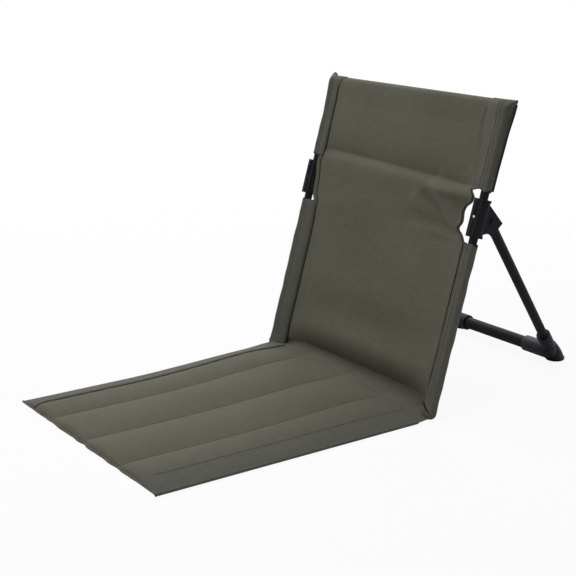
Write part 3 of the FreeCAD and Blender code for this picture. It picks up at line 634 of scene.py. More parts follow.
# %% Outline of the back cloth
SEAM_CREASE_S = 21.0            # the fold above the seat
LOWER_SEAM = {-1: -174.0, 1: 195.5}
UPPER_SEAM = {-1: -181.0, 1: 178.0}
CUT_LOW, CUT_HIGH = 256.0, 336.0
CUT_MIDDLE = (CUT_LOW + CUT_HIGH) / 2
RIGHT_EDGE = np.array([(0, 199), (248, 199), (257, 193), (265, 188), (274, 176.5), (284, 180), (300, 176),
                       (310, 180), (315, 191), (327, 194), (332, 184), (337, 186), (344, 188),
                       (480, 188)], float)
LEFT_EDGE = np.array([(0, -178), (248, -179), (257, -182), (265, -187), (276, -190), (300, -192),
                      (322, -195), (337, -192), (346, -186), (480, -186)], float)
SEAM_SLANT = {-1: np.array([(336, 0.0), (448, 0.0), (460, 3.5), (470, 11.0)]),
              1: np.array([(336, 6.0), (373, 4.0), (414, -3.5), (445, -3.5), (462, 0.0)])}


def edge_line(places, s):
    """x of a cloth edge at heights s: straight between its points, then averaged over 7 mm."""
    offsets = np.linspace(-3.5, 3.5, 9)
    return np.mean([np.interp(s + offset, places[:, 0], places[:, 1]) for offset in offsets], axis=0)


def bump(place, middle, below, above):
    """A soft hill of height 1: a bell with its own width on each side."""
    gap = place - middle
    return np.exp(-(gap / np.where(gap < 0, below, above)) ** 2)


def seam_slant(side, s):
    """How far an upper seam leaves its straight line: it waves on the right and turns in at the top left."""
    return np.interp(s, SEAM_SLANT[side][:, 0], SEAM_SLANT[side][:, 1])


print("cut-outs from", CUT_LOW, "to", CUT_HIGH, "mm up the tubes")

# %% [markdown]
# The cloth hangs between the side seams, rolls under above the seat, and carries a crease where the
# upper sleeves end, with wrinkles pulled towards the right cut-out. A simulation would wrinkle it in
# places of its own, so the depth behind the tubes is a sum of plain forms, one for each of these.

# %% Depth of the back cloth
HANG, HANG_START, HANG_RUN = 6.0, 14.0, 326.0          # how far its middle hangs back, and where
EDGE_DEPTH = -6.9               # cloth at its side seams
CUT_SINK, CUT_SINK_DOWN, CUT_SINK_UP = 3.0, 26.0, 22.0 # its free edges lie deeper at the cut-outs
LEFT_SINK = 7.0                 # how much deeper the lower left seam lies
SINK_TOP, SINK_FADE = 210.0, 90.0                      # where that starts to fade, and over what length
ROLL_R = 8.9                    # cloth over the top rail
ROLL_REACH, ROLL_ANGLE = 40.0, math.radians(60)        # cloth rolled under at the fold above the seat
ROLL_LOSS = {-1: 0.4, 1: 0.17}                         # share of that roll that is lost at each side
HOLLOW, HOLLOW_S, HOLLOW_WIDE = 5.5, 92.0, 31.0        # shallow wave above that roll
CREASE_S, CREASE_FALL, CREASE_BEND = 348.0, 10.5, 1.6  # height at the left, fall to the right, its power
CREASE_SINK, CREASE_UP, CREASE_DOWN = 10.5, 23.0, 7.5  # line pressed in across the back, steeper below
CREASE_SWELL, SWELL_AT = 3.0, -11.0                    # cloth swollen out below the crease
SWELL_DOWN, SWELL_UP = 26.0, 7.0
BULGE, BULGE_X, BULGE_S = 6.5, 145.0, 324.0            # and pushed out more at the right
BULGE_WIDE, BULGE_HIGH = 45.0, 9.0
SEAM_GROOVE = {-1: 0.6, 1: 1.8}                        # how far the cloth sinks beside a side seam
GROOVE_WIDE, UNSEWN = 3.0, 44.0                        # width of that groove, and of its fade at the cut-outs
SLACK, SLACK_S, SLACK_REACH = 0.8, 190.0, 90.0         # faint slanted waves half way up
TOP_START, TOP_RUN = 426.0, 34.0                       # where the cloth comes forward to the top rail


def left_sink(s):
    """How much deeper the lower left seam lies at heights s: all of it low down, none above the cut-out."""
    return LEFT_SINK * (1 - ease((s - SINK_TOP) / SINK_FADE))


def pull(x, s, start, end, width, depth):
    """A wrinkle from start to end: a ridge beside a dip, narrow at its start and fading at both ends."""
    start, end = np.array(start, float), np.array(end, float)
    run = end - start
    length = np.hypot(*run)
    along = ((x - start[0]) * run[0] + (s - start[1]) * run[1]) / length ** 2
    side = ((x - start[0]) * -run[1] + (s - start[1]) * run[0]) / length
    spread = side / (width * (0.35 + 0.65 * np.clip(along, 0, 1)))
    fade = np.sin(np.pi * np.clip(along, 0, 1)) ** 0.8
    return depth * fade * (np.exp(-(spread - 0.9) ** 2) - np.exp(-(spread + 0.9) ** 2))


WRINKLES = [((180, 264), (84, 328), 18.0, 8.0), ((176, 268), (50, 290), 14.0, 4.6),
            ((190, 256), (90, 262), 12.0, 1.6), ((-176, 262), (-70, 286), 16.0, 0.6)]


def crease_depth(x, s, share):
    """Depth of the crease: pressed in along a line that falls to the right, and swollen out below it."""
    above = s - (CREASE_S - CREASE_FALL * ((share + 1) / 2) ** CREASE_BEND)
    pressed = np.exp(-np.where(above > 0, above / CREASE_UP, -above / CREASE_DOWN))
    swollen = CREASE_SWELL * bump(above, SWELL_AT, SWELL_DOWN, SWELL_UP)
    bulge = BULGE * np.exp(-((x - BULGE_X) / BULGE_WIDE) ** 2 - ((s - BULGE_S) / BULGE_HIGH) ** 2)
    return (CREASE_SINK * pressed - swollen) * (1 - share ** 8) - bulge


def back_depth(x, s):
    """Depth of the cloth behind the tubes: edge, hang, roll above the seat, crease and wrinkles.

    The roll turns evenly from 0 to ROLL_ANGLE, so its depth is reach / angle x -log(cos(turned)).
    """
    left, right = edge_line(LEFT_EDGE, s), edge_line(RIGHT_EDGE, s)
    share = np.clip((2 * x - left - right) / (right - left), -1, 1)
    middle = 1 - share ** 2
    depth = EDGE_DEPTH + CUT_SINK * bump(s, CUT_MIDDLE, CUT_SINK_DOWN, CUT_SINK_UP) * (1 - middle)
    depth = depth + left_sink(s) * (1 - share) / 2
    depth = depth + HANG * middle * np.sin(np.pi * np.clip((s - HANG_START) / HANG_RUN, 0, 1)) ** 0.9
    turned = ROLL_ANGLE * (1 - np.clip((s - SEAM_CREASE_S) / ROLL_REACH, 0, 1))
    rolled = -ROLL_REACH / ROLL_ANGLE * np.log(np.cos(turned))
    kept = 1 - np.where(share < 0, ROLL_LOSS[-1], ROLL_LOSS[1]) * share ** 2
    depth = depth + rolled * kept * (1 - share ** 6)
    depth = depth + HOLLOW * (1 - share ** 4) * bump(s, HOLLOW_S, HOLLOW_WIDE, HOLLOW_WIDE)
    for side in (-1, 1):
        seam = np.where(s < CUT_MIDDLE, LOWER_SEAM[side], UPPER_SEAM[side] + seam_slant(side, s))
        sewn = 1 - bump(s, CUT_MIDDLE, UNSEWN, UNSEWN) ** 0.2
        depth = depth + SEAM_GROOVE[side] * sewn * np.exp(-((x - seam + side * 0.5) / GROOVE_WIDE) ** 2)
    depth = depth + crease_depth(x, s, share)
    for wrinkle in WRINKLES:
        depth = depth + pull(x, s, *wrinkle)
    depth = depth + SLACK * middle * np.sin(s / 21 + x / 95) * bump(s, SLACK_S, SLACK_REACH, SLACK_REACH)
    top = ease((s - TOP_START) / TOP_RUN)
    return depth * (1 - top) - ROLL_R * top


print("depth in the middle of the back", round(float(back_depth(0.0, 200.0)), 1), "mm")

# %% [markdown]
# The sheet is one grid of points in three runs: up the front, half round the top rail, and a flap that
# is sewn down behind. Its columns crowd together at the sides, where the seams are.

# %% Back cloth
CLOTH = 0.9                     # thickness of the cloth
FLAP = 28.0                     # cloth sewn down behind the rail
panel_s = SEAM_CREASE_S + (RAIL_S - SEAM_CREASE_S) * np.linspace(0, 1, 238)[:, None] ** 1.12
share_x = np.sin(np.linspace(-np.pi / 2, np.pi / 2, 171))[None, :]
panel_left, panel_right = edge_line(LEFT_EDGE, panel_s), edge_line(RIGHT_EDGE, panel_s)
panel_x = (panel_left + panel_right) / 2 + share_x * (panel_right - panel_left) / 2
front_face = on_back(panel_x, panel_s, back_depth(panel_x, panel_s))
turn = np.linspace(0, np.pi, 22)[1:, None]
over_rail = on_back(panel_x[-1:], RAIL_S + ROLL_R * np.sin(turn), -ROLL_R * np.cos(turn))
down = np.linspace(0, 1, 14)[1:, None]
flap_end = back_depth(panel_x[-1:], np.array([[RAIL_S - FLAP]])) + 2.4
flap = on_back(panel_x[-1:], RAIL_S - FLAP * down, ROLL_R + (flap_end - ROLL_R) * ease(down ** 0.8))
back_face = np.concatenate([front_face, over_rail, flap])
back_cloth = two_skins("back_cloth", back_face, back_face - CLOTH * normals(back_face), cloth_uv(back_face),
                       back_olive)
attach(back_cloth, "backrest")
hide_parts("back_panel", "top_hem")

# %% [markdown]
# Between the mat and the back the cloth lies flat, turns up at the fold line and meets the back in the
# fold. It has to bend when the back folds; here it is a sheet of its own that runs from the seat at one
# end to the back at the other. Its section is a weighted curve with a corner at the fold line.

# %% Fold cloth
CORNER_WEIGHT = 2.2
FOLD_CLOTH_START = MAT_REAR - 2
SEWN_LINES = (0.13, 0.24)               # shares of its length where it is sewn down
FOLD_HALF = 200.0                       # half its width at the mat
CORNER_BEHIND, CORNER_RISE = 16.0, 1.5  # its corner, from the fold line and from the flat cloth
run = np.linspace(0, 1, 60)[:, None]
seat_x = share_x * FOLD_HALF
crease_x = share_x * TUBE_X
crease_d = back_depth(crease_x, np.array([[SEAM_CREASE_S]])) - 0.5
crease_points = on_back(crease_x, SEAM_CREASE_S + 0.8, crease_d)
flat_z = np.interp(seat_x, mat_x, quilt_top[-1, :, 2]) - 1.0
flat_points = np.stack([seat_x, np.full_like(seat_x, FOLD_CLOTH_START), flat_z], axis=-1)
corner_y = np.full_like(seat_x, FOLD_Y + CORNER_BEHIND)
corner_points = np.stack([(seat_x + crease_x) / 2, corner_y, flat_z + CORNER_RISE], axis=-1)
weights = np.stack([(1 - run) ** 2, 2 * CORNER_WEIGHT * run * (1 - run), run ** 2])[..., None]
guides = np.stack([flat_points, corner_points, crease_points])
fold_face = (weights * guides).sum(axis=0) / weights.sum(axis=0)
fold_face[..., 2] += 0.35 * waves(seat_x[0], [23.0, 41.0, 77.0])[None, :] * np.sin(np.pi * run)
fold_face[..., 2] += sum(bump(run, place, 0.05, 0.025) for place in SEWN_LINES)
fold_cloth = two_skins("fold_cloth", fold_face, fold_face - CLOTH * normals(fold_face), cloth_uv(fold_face),
                       olive_cloth)
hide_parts("fold_strip", "fold_hem")
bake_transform(fold_cloth)

# %% [markdown]
# The sides of the back are folded round the tubes and sewn to themselves, which makes four sleeves: two
# long ones below the brackets and two short ones above. A sleeve's loop is flat from the seam to the
# tube, goes half round the tube and comes back behind. The lower ones close over the tube's end on the
# fold line.

# %% Sleeves
SLEEVE_R = 8.6
SLEEVE_CLOTH = 1.1
SEAM_FRONT, SEAM_REAR = -7.9, -5.2      # depths of the two layers where they are sewn together
CAP_COVER_R = 9.1                       # round end over the tube cap, about the fold line
RAIL_END = 10.0                         # how far the cloth closes over the rail
EAR_OUT = {-1: 0.8, 1: 2.0}             # how far the point of a top corner stands out, up and back
EAR_UP = {-1: 5.5, 1: 1.5}
EAR_BACK = {-1: 3.0, 1: 8.0}
FLAT_STEPS, ROUND_STEPS = 26, 46
RIDGES = ((6.4, 1.5, 1.3), (1.2, 1.5, 1.6))     # place inward of the tube, height and width of sewn-in layers
RIDGE_START, RIDGE_RUN = 13, 14         # where they begin, and over what length they rise
SQUARE = {-1: 1.0, 1: 0.55}             # 1 is a round front, less is one that is pressed flat and wide
LOOSE_END, LOOSE_REACH = 1.7, 8         # waves of the cut ends at the brackets
LOOSE = 0.35                            # uneven width along the tube


def sleeve_loops(side, s, seam_x, radius):
    """Rows of loops round a tube: seam, flat front, half circle, flat rear. Each input is a column."""
    share = np.linspace(0, 1, FLAT_STEPS, endpoint=False)[None, :]
    angle = np.linspace(-np.pi / 2, np.pi / 2, ROUND_STEPS)[None, :]
    axis_x = side * TUBE_X
    scale = radius / SLEEVE_R
    front_x = seam_x + (axis_x - seam_x) * share
    sunk = left_sink(s) * (side < 0)
    seam_front, seam_rear = scale * (SEAM_FRONT + sunk), scale * (SEAM_REAR + sunk)
    front_d = seam_front + (-radius - seam_front) * np.sqrt(share) - 0.5 * scale * np.sin(np.pi * share)
    round_power = np.where(angle < 0, SQUARE[side], 1.0)
    round_x = axis_x + side * radius * np.abs(np.cos(angle)) ** round_power
    round_d = radius * np.sign(angle) * np.abs(np.sin(angle)) ** round_power

    def ridges(x):
        hills = [high * np.exp(-((np.abs(x) - TUBE_X + place) / wide) ** 2) for place, high, wide in RIDGES]
        return scale * sum(hills) * ease((s - RIDGE_START) / RIDGE_RUN)

    front_d = front_d - ridges(front_x)
    round_d = round_d - ridges(round_x) * (angle < 0)
    back = share + 1 / FLAT_STEPS
    rear_x = axis_x + (seam_x - axis_x) * back
    rear_d = radius + (seam_rear - radius) * ease(back)
    x = np.concatenate([front_x, round_x, rear_x], axis=1)
    d = np.concatenate([front_d, round_d, rear_d], axis=1)
    turn = np.linspace(0, 6 * np.pi, x.shape[1])[None, :] + side
    ends = np.exp(-np.abs(s - CUT_LOW) / LOOSE_REACH) - np.exp(-np.abs(s - CUT_HIGH) / LOOSE_REACH)
    return x, s + LOOSE_END * ends * np.sin(turn), d


def over_rail_end(side, x, s, d):
    """Loops closed over the top rail along a quarter circle, with their outer corner drawn out to an ear."""
    rising = np.clip((s - RAIL_S) / RAIL_END, 0, 1)
    outward = ease((np.abs(x) - TUBE_X + 2) / (SLEEVE_R + 2))
    x = x + side * EAR_OUT[side] * outward * ease((s - RAIL_S + 8) / 17)
    d = d * np.sqrt(np.clip(1 - rising ** 2, 0.01, 1)) + EAR_BACK[side] * outward * rising
    return on_back(x, s + EAR_UP[side] * outward * rising ** 1.5, d)


def sleeve(name, side, s, seam_x, radius, *node_names):
    """A cloth sleeve as two skins of loops, slightly loose along the tube, and its girth half way up."""
    loose = LOOSE * waves(s[:, 0], [37.0, 61.0, 113.0])[:, None]
    loose = loose * ease((s - s.min()) / 20) * (radius > SLEEVE_R - 0.1)
    outer = over_rail_end(side, *sleeve_loops(side, s, seam_x, radius + loose))
    inside = np.maximum(radius + loose - SLEEVE_CLOTH, 0)
    inner = over_rail_end(side, *sleeve_loops(side, s, seam_x + side * 0.6, inside))
    # The right sleeves get the lighter copy of the grey olive, which paints light on them.
    cloth = painted_light_olive if side > 0 else grey_olive
    piece = two_skins(name, outer, inner, cloth_uv(outer, wrap=True), cloth, wrap=True)
    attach(piece, "backrest")
    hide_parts(*node_names)
    middle_loop = outer[len(s) // 2][None]
    return piece, steps(middle_loop, 1)[0, -1]


MITRE = {-1: (-4.0, 7.0), 1: (0.0, 13.0)}     # the sleeve's flat side is cut on a slant near the fold line
for side, word in SIDES:
    dome = np.linspace(np.pi / 2, 0, 14)[:, None]
    s = np.concatenate([-CAP_COVER_R * np.sin(dome), np.linspace(0, CUT_LOW, 120)[1:, None]])
    radius = np.full_like(s, SLEEVE_R)
    radius[:len(dome)] = CAP_COVER_R * np.cos(dome)
    radius = np.where(s > 0, SLEEVE_R + (CAP_COVER_R - SLEEVE_R) * np.exp(-np.clip(s, 0, None) / 8), radius)
    tucked = side * (TUBE_X - radius)
    mitre_low, mitre_high = MITRE[side]
    mitred = np.clip((s - mitre_low) / (mitre_high - mitre_low), 0, 1)
    seam_x = tucked + (LOWER_SEAM[side] - tucked) * mitred
    lower, girth = sleeve(f"sleeve_lower_{word}", side, s, seam_x, radius, f"lower_sleeve_{word}")

# %% [markdown]
# The lower sleeves end beside the fold line, where the corner between sleeve and cloth lies in shade.
# That shade is painted as a short dark line across the corner. It stands proud of the cloth, so it is a
# thin round bar of near-black cloth along a few points and not a pattern in the cloth's material.

# %% Painted shade at the sleeve ends
FRONT = np.array([0, -0.96, 0.28])      # straight out of the front of the back
MITRE_SHADE_PATH = {-1: [(-212.6, 12, -2), (-209, 6, -7), (-203, 1, -8.6), (-197, -3, -6.5)],
                1: [(194, 13, -8.8), (199, 9, -9.2), (204, 5.5, -9.2), (209, 1.5, -7.8), (212.4, -1.5, -4.6)]}
MITRE_SHADE_R = {-1: (1.6, 1.0), 1: (2.4, 1.7)}         # at its start and its end
# Near-black cloth: painted shade in the seams, cut-out edges and sleeve corners, and the black bars on the
# fins' edges.
black_piping_and_painted_shade = cloth_finish("black_piping_and_painted_shade", (0.006, 0.006, 0.007, 1), (0.011, 0.011, 0.012, 1))
for side, word in SIDES:
    places = np.array(MITRE_SHADE_PATH[side], float)
    share = np.linspace(0, len(places) - 1, 40)
    x, s, d = [np.interp(share, np.arange(len(places)), places[:, axis]) for axis in range(3)]
    round_bar = round_loops(on_back(x, s, d), np.linspace(*MITRE_SHADE_R[side], 40), X, FRONT, 10)
    mitre_shade = capped_sweep(f"sleeve_mitre_shade_{word}", round_bar, black_piping_and_painted_shade)
    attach(mitre_shade, "backrest")
    on_back(0.0, 0.0, -6.0) * MM
    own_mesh(mitre_shade)

# %% [markdown]
# The upper sleeves are made in the same way. They widen towards the top, close over the rail, and end in
# a small point at the outer corner, where the cloth is sewn flat and the end of the rail pushes it out.

# %% Upper sleeves
TOP_SWELL = 1.8                 # how much wider they are at the rail
TOP_SWELL_START, TOP_SWELL_RUN = 420, 40


def top_swell(s):
    """How much wider an upper sleeve is at heights s: a step up to the rail."""
    return TOP_SWELL * ease((s - TOP_SWELL_START) / TOP_SWELL_RUN)


for side, word in SIDES:
    over = RAIL_S + RAIL_END * np.sin(np.linspace(0, np.pi / 2, 16))
    s = np.concatenate([np.linspace(CUT_HIGH, RAIL_S, 60)[:-1], over])[:, None]
    radius = SLEEVE_R + top_swell(s)
    upper, girth = sleeve(f"sleeve_upper_{word}", side, s, UPPER_SEAM[side] + seam_slant(side, s), radius,
                          f"upper_sleeve_{word}", f"corner_pocket_{word}")

# %% [markdown]
# The spare cloth of an upper sleeve stands out behind the tube as a narrow fin, with a thin black bar
# along its outer edge. The fin is a strip with two faces, and the bar a circle carried along its edge, so
# that both follow the tube and show from behind too.

# %% Fins
FIN_ANGLE = math.radians(38)            # behind the tube's outer side
FIN_LONG, FIN_SHORT, FIN_THICK = 4.4, 2.6, 1.5
PIPING_R = 1.3


def fin(side, word):
    """A strip along the sleeve, wide at the top: base on the sleeve, two faces a thickness apart."""
    s = np.linspace(CUT_HIGH + 1, RAIL_S + 5, 60)[:, None]
    reach = FIN_SHORT + (FIN_LONG - FIN_SHORT) * ease((s - CUT_HIGH) / (RAIL_S - CUT_HIGH))
    out = np.linspace(-1.5, 1, 7)[None, :] * reach
    out = SLEEVE_R - 0.6 + top_swell(s) + np.maximum(out, -1.5)
    bend = FIN_ANGLE + 0.05 * waves(s[:, 0], [43.0, 71.0])[:, None]
    skins = []
    for offset in (-FIN_THICK / 2, FIN_THICK / 2):
        x = side * (TUBE_X + out * np.cos(bend) - offset * np.sin(bend))
        skins.append(on_back(x, s, out * np.sin(bend) + offset * np.cos(bend)))
    piece = two_skins(f"sleeve_fin_{word}", skins[0], skins[1], cloth_uv(skins[0]), grey_olive)
    edge = (skins[0][:, -1] + skins[1][:, -1]) / 2
    round_bar = round_loops(edge, PIPING_R, X, -FRONT, 10)
    piping = capped_sweep(f"sleeve_fin_edge_{word}", round_bar, black_piping_and_painted_shade)
    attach(piece, "backrest")
    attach(piping, "backrest")


for side, word in SIDES:
    fin(side, word)

# %% [markdown]
# Where the brackets stand the cloth is cut out at both sides. The free edge is turned over and sewn, so
# it is a narrow strip of double cloth that follows the wavy edge.

# %% Cut-out hems
HEM_WIDE, HEM_THICK = 8.0, 2.3
HEM_OVER, HEM_BEHIND = 0.6, 0.4         # how far it goes past the edge, and behind the cloth


def cut_out_hem(side, word, places):
    """A strip along a free edge of the back cloth: depth of the cloth, less and plus half its thickness."""
    s = np.linspace(CUT_LOW - 4, CUT_HIGH + 4, 70)[:, None]
    inward = np.linspace(-HEM_OVER, HEM_WIDE, 8)[None, :]
    x = edge_line(places, s) - side * inward
    depth = back_depth(x, s)
    share = 2 * (inward + HEM_OVER) / (HEM_WIDE + HEM_OVER) - 1
    rounded = HEM_THICK / 2 * np.sqrt(np.clip(1 - share ** 8, 0, 1))
    front = on_back(x, s, depth + HEM_BEHIND - rounded)
    rear = on_back(x, s, depth + HEM_BEHIND + rounded)
    piece = two_skins(f"cut_out_hem_{word}", front, rear, cloth_uv(front), back_olive)
    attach(piece, "backrest")


cut_out_hem(-1, "left", LEFT_EDGE)
cut_out_hem(1, "right", RIGHT_EDGE)

# %% [markdown]
# A dark line runs along each seam and along the free edges of the cut-outs, where the cloth steps and the
# step lies in shade. A groove alone would look too soft, so that shade is painted as a thin dark bar that
# follows the depth of the back cloth.

# %% Painted shade along the seams
SEAM_SHADE_R = 0.75
LOWER_SHADE_BAR = {-1: (0.6, 0.4), 1: (2.9, 0.55)}     # inward of the lower seam, and proud of the cloth
HEM_SHADE_BAR = {-1: (11.0, 0.3), 1: (2.2, 1.2)}           # inside a free edge, and proud of the cloth


def seam_shade_bar(name, x, s, raised):
    """Painted shade along a seam or edge: a thin dark round bar on the back cloth at points x, s."""
    path = on_back(x, s, back_depth(x, s) - raised)
    piece = capped_sweep(name, round_loops(path, SEAM_SHADE_R, X, FRONT, 8), black_piping_and_painted_shade)
    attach(piece, "backrest")


for side, word, places in ((-1, "left", LEFT_EDGE), (1, "right", RIGHT_EDGE)):
    s = np.linspace(MITRE[side][1] + 14, CUT_LOW - 2, 90)
    inward, proud = LOWER_SHADE_BAR[side]
    seam_shade_bar(f"lower_seam_shade_{word}", np.full_like(s, LOWER_SEAM[side] - side * inward), s, proud)
    s = np.linspace(CUT_HIGH + 1, RAIL_S - 6, 60)
    seam_shade_bar(f"upper_seam_shade_{word}", UPPER_SEAM[side] + seam_slant(side, s) - side * 0.6, s, 0.4)
    s = np.linspace(CUT_LOW - 2, CUT_HIGH + 1, 60)
    inward, proud = HEM_SHADE_BAR[side]
    seam_shade_bar(f"hem_edge_shade_{word}", edge_line(places, s) - side * inward, s, proud)

# %% [markdown]
# The thread is twisted polyester, a little darker than the cloth. It is too thin to show its strands one
# by one, so a fine noise in its shade and its bump stands for them.

# %% Thread finish
def thread_finish():
    """Twisted polyester thread, a little darker than the cloth, with fine strands in its bump."""
    material, tree, shader = blank_finish("olive_thread")
    place = node(tree, "TexCoord").outputs["Object"]
    strands = stretched_noise(tree, place, (2500, 2500, 2500))
    mixed = node(tree, "Mix", {"Factor": strands, 6: (0.062, 0.063, 0.047, 1), 7: (0.094, 0.095, 0.073, 1)},
                 data_type="RGBA")
    tree.links.new(mixed.outputs[2], shader.inputs["Base Color"])
    twist = node(tree, "Bump", {"Strength": 0.4, "Distance": 0.0002, "Height": strands})
    tree.links.new(twist.outputs[0], shader.inputs["Normal"])
    shader.inputs["Roughness"].default_value = 0.6
    return material


olive_thread = thread_finish()
print("thread finish", len(olive_thread.node_tree.nodes), "nodes")

# %% [markdown]
# The thread shows as rows of short stitches. One stitch is a small rounded bar, and a row is that bar
# set along a line at every stitch length, all worked out in one array. A pattern in the cloth's material
# would be lighter, but it would not stand out at a flat angle.

# %% Stitch rows
STITCH, STITCH_GAP, THREAD_R = 3.2, 1.1, 0.42
STITCH_BESIDE = 2.5             # from a seam to its row of stitches
STITCH_PROUD, LEFT_PROUD = 0.55, 1.1    # how far a row lies in front of a sleeve, and more at the lower left


def stitch_row(name, line, up, body):
    """Stitches along a line of points: bars of four-sided rings that dip into the cloth at both ends."""
    length = steps(line[None], 1)[0]
    starts = np.arange(STITCH_GAP, length[-1] - STITCH, STITCH + STITCH_GAP)

    def on_line(place):
        return np.stack([np.interp(place, length, line[:, axis]) for axis in range(3)], axis=-1)

    begin, end = on_line(starts), on_line(starts + STITCH)
    along = (end - begin) / np.linalg.norm(end - begin, axis=-1, keepdims=True)
    up = np.broadcast_to(np.asarray(up, float), along.shape)
    side = np.cross(along, up)
    ring = np.array([0.0, 0.12, 0.5, 0.88, 1.0])
    thick = THREAD_R * np.array([0.45, 0.9, 1.0, 0.9, 0.45])
    arch = np.array([-0.45, 0.1, 0.35, 0.1, -0.45])
    angle = np.arange(4) * np.pi / 2
    centre = begin[:, None] + (end - begin)[:, None] * ring[None, :, None] + up[:, None] * arch[None, :, None]
    round_up = np.cos(angle)[None, None, :, None] * up[:, None, None]
    round_side = np.sin(angle)[None, None, :, None] * side[:, None, None]
    points = centre[:, :, None] + thick[None, :, None, None] * (round_up + round_side)
    rings = len(ring)
    caps = [[3, 2, 1, 0], [4 * rings - 4 + n for n in range(4)]]
    bar = np.concatenate([grid_quads(rings, 4, wrap=True), caps])
    quads = (bar[None] + (np.arange(len(starts)) * rings * 4)[:, None, None]).reshape(-1, 4)
    piece = make_piece(name, points.reshape(-1, 3), quads, np.zeros((quads.size, 2)), olive_thread)
    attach(piece, body)
    return piece


for number, row in enumerate(STITCH_X[1:-1], 1):
    column = np.flatnonzero(mat_x == row)[0]
    stitch_row(f"mat_stitches_{number}", quilt_top[4:-3, column] + [0, 0, 0.25], Z, "seat")
for side, word in SIDES:
    loops = band_loops(side)
    stitch_row(f"band_stitches_{word}", loops[6:-5, BAND_STEPS[0] + 2] + [0, 0, 0.3], Z, "seat")
    s = np.linspace(MITRE[side][1] + 4, CUT_LOW - 3, 80)
    sunk = left_sink(s) * (side < 0)
    row_d = SEAM_FRONT + sunk - STITCH_PROUD - (side < 0) * LEFT_PROUD
    line = on_back(LOWER_SEAM[side] + side * STITCH_BESIDE, s, row_d)
    stitch_row(f"lower_stitches_{word}", line, FRONT, "backrest")
    s = np.linspace(CUT_HIGH + 3, RAIL_S - 10, 60)
    x = UPPER_SEAM[side] + side * STITCH_BESIDE + seam_slant(side, s)
    stitch_row(f"upper_stitches_{word}", on_back(x, s, SEAM_FRONT - STITCH_PROUD), FRONT, "backrest")

# %% [markdown]
# The hard pieces keep the solids' shapes and only get new finishes. The tubes are powder-coated steel,
# the clamps, blocks and caps are moulded black plastic, and the screws and the rivet are bare steel. The
# feet get a lighter copy of the black plastic, which paints light on them, and the brackets and pivot
# pins a darker copy, which paints shade on them. One function makes them all, because they differ only
# in shade, roughness, grain and shine.

# %% Hard finishes
def hard_finish(name, dark, light, roughness, grain, depth, specular, metallic):
    """A hard surface: two shades and two roughnesses mixed by noise, and a fine grain in the bump."""
    material, tree, shader = blank_finish(name)
    place = node(tree, "TexCoord").outputs["Object"]
    broad = stretched_noise(tree, place, (55, 55, 55), 5.0)
    fine = stretched_noise(tree, place, (grain, grain, grain), 2.0)
    shade = sum_of(tree, (broad, 0.7), (fine, 0.3))
    mixed = node(tree, "Mix", {"Factor": shade, 6: (*dark, 1), 7: (*light, 1)}, data_type="RGBA")
    tree.links.new(mixed.outputs[2], shader.inputs["Base Color"])
    rough = node(tree, "MapRange", {"Value": broad, "To Min": roughness[0], "To Max": roughness[1]})
    tree.links.new(rough.outputs[0], shader.inputs["Roughness"])
    relief = node(tree, "Bump", {"Strength": 0.3, "Distance": depth, "Height": fine})
    tree.links.new(relief.outputs[0], shader.inputs["Normal"])
    shader.inputs["Specular IOR Level"].default_value = specular
    shader.inputs["Metallic"].default_value = metallic
    return material


HARD_LOOKS = {      # dark and light shade, roughness, grain to the metre, its depth, shine, metal
    "black_tube": ((0.011, 0.011, 0.016), (0.019, 0.019, 0.027), (0.45, 0.60), 1800, 0.0002, 0.09, 0.0),
    "black_plastic": ((0.007, 0.007, 0.011), (0.013, 0.013, 0.020), (0.42, 0.58), 2600, 0.0003, 0.18, 0.0),
    # painted light: the black plastic made lighter for the feet
    "foot_plastic_painted_light": ((0.010, 0.010, 0.014), (0.018, 0.018, 0.026), (0.42, 0.58), 2600, 0.0003, 0.22, 0.0),
    # painted shade: the black plastic made darker for the brackets and pivot pins
    "bracket_plastic_painted_shade": ((0.004, 0.004, 0.006), (0.008, 0.008, 0.011), (0.45, 0.60), 2600, 0.0003, 0.14, 0.0),
    "bare_steel": ((0.45, 0.45, 0.48), (0.62, 0.62, 0.66), (0.28, 0.42), 3000, 0.0001, 0.50, 1.0),
}
HARD = {name: hard_finish(name, *look) for name, look in HARD_LOOKS.items()}
FINISH_OF = {"back_tube": "black_tube", "top_rail": "black_tube", "strut": "black_tube",
             "crossbar": "black_tube", "bracket_rivets": "black_tube", "foot_pad": "foot_plastic_painted_light",
             "pivot_pin": "bracket_plastic_painted_shade", "foot_screws": "bare_steel"}
for name, piece in frame["nodes"].items():
    stem = name.removesuffix("_left").removesuffix("_right")
    finish = HARD[FINISH_OF.get(stem, "black_plastic")]
    piece.data.materials.clear()
    piece.data.materials.append(finish)
print("hard nodes shown", sum(not piece.hide_render for piece in frame["nodes"].values()))

# %% [markdown]
# Moulded plastic has no sharp edges, and the edges catch the light. A copy of each bracket and foot
# block is merged and gets a small bevel. A fairing fills the corner between the strut's socket and the
# foot, as on the boot-like block of the picture: circles of points down a path from the socket to the
# pad.

# %% Softened blocks
EDGE_WIDTH = 0.0007             # metres


def softened(name, body, finish):
    """A copy of a hard node with its doubles merged and its edges bevelled, in the node's place."""
    source = frame["nodes"][name]
    mesh = source.data.copy()
    mesh.transform(source.matrix_world)
    work = bmesh.new()
    work.from_mesh(mesh)
    bmesh.ops.remove_doubles(work, verts=work.verts, dist=1e-6)
    work.to_mesh(mesh)
    work.free()
    mesh.materials.clear()
    mesh.materials.append(HARD[finish])
    piece = bpy.data.objects.new("soft_" + name, mesh)
    bpy.context.scene.collection.objects.link(piece)
    edge = piece.modifiers.new("edge", "BEVEL")
    edge.width, edge.segments, edge.angle_limit = EDGE_WIDTH, 2, math.radians(40)
    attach(piece, body)
    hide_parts(name)
    return piece


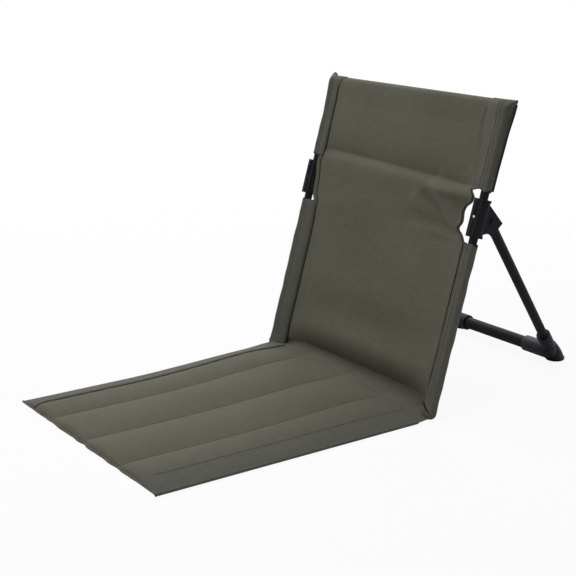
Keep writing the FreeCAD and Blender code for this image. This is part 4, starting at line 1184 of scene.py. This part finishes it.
FAIRING = np.array([(121.0, 556.0, 47.0, 7.0), (120.0, 561.0, 41.0, 12.2), (118.5, 568.5, 33.0, 13.6),
                    (117.5, 575.0, 25.0, 14.8), (117.0, 580.0, 17.0, 15.8), (117.0, 583.0, 10.0, 16.3),
                    (117.0, 584.0, 6.0, 16.0), (117.0, 584.0, 5.0, 14.5)])      # x, y, z and radius
for side, word in SIDES:
    softened(f"bracket_{word}", "backrest", "bracket_plastic_painted_shade")
    softened(f"foot_block_{word}", "leg", "foot_plastic_painted_light")
    round_bar = round_loops(FAIRING[:, :3] * [side, 1, 1], FAIRING[:, 3], X, Y, 32)
    fairing = capped_sweep(f"foot_fairing_{word}", round_bar, HARD["foot_plastic_painted_light"], rounding=2)
    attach(fairing, "leg")

# %% [markdown]
# The rivet of the right bracket shows as a small bright dome in a dark ring. Both are turned shapes: a
# profile of radius and height is carried round the rivet's own axis, which points to the front.

# %% Rivets
RIVET_DOME = [(0.0, 1.3), (1.2, 1.15), (2.2, 0.7), (2.7, 0.0), (2.7, -0.6), (0.0, -0.6)]
RIVET_RING = [(2.6, 0.2), (3.1, 0.75), (4.2, 0.7), (4.7, 0.2), (4.7, -0.6), (2.6, -0.6)]
RIVET_S, RIVET_D = 297.0, -10.2


def turned(name, profile, material):
    """A profile of radius and height carried round the axis of the right bracket's rivet."""
    angle = np.linspace(0, 2 * np.pi, 32, endpoint=False)[None, :]
    radius, height = np.array(profile + profile[:1]).T[:, :, None]
    rings = on_back(TUBE_X + radius * np.cos(angle), RIVET_S + radius * np.sin(angle), RIVET_D - height)
    quads = grid_quads(*rings.shape[:2], wrap=True)
    piece = make_piece(name, rings.reshape(-1, 3), quads, np.zeros((quads.size, 2)), material)
    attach(piece, "backrest")
    return piece


turned("rivet_domes", RIVET_DOME, HARD["bare_steel"])
turned("rivet_rings", RIVET_RING, HARD["black_plastic"])

# %% [markdown]
# When the back is folded down it lies on the mat, whose foam and raised rear corners are pressed flat.
# Here the mat and everything sewn to it only get meshes of their own.

# %% Own meshes for the mat
FLATTENED = ["seat_quilt", "side_band_left", "side_band_right", "front_roll", "edge_roll_right",
             "mat_stitches_1", "mat_stitches_2", "mat_stitches_3",
             "band_stitches_left", "band_stitches_right"]
for name in FLATTENED:
    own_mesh(bpy.data.objects[name])
print("pieces that flatten", len(FLATTENED))
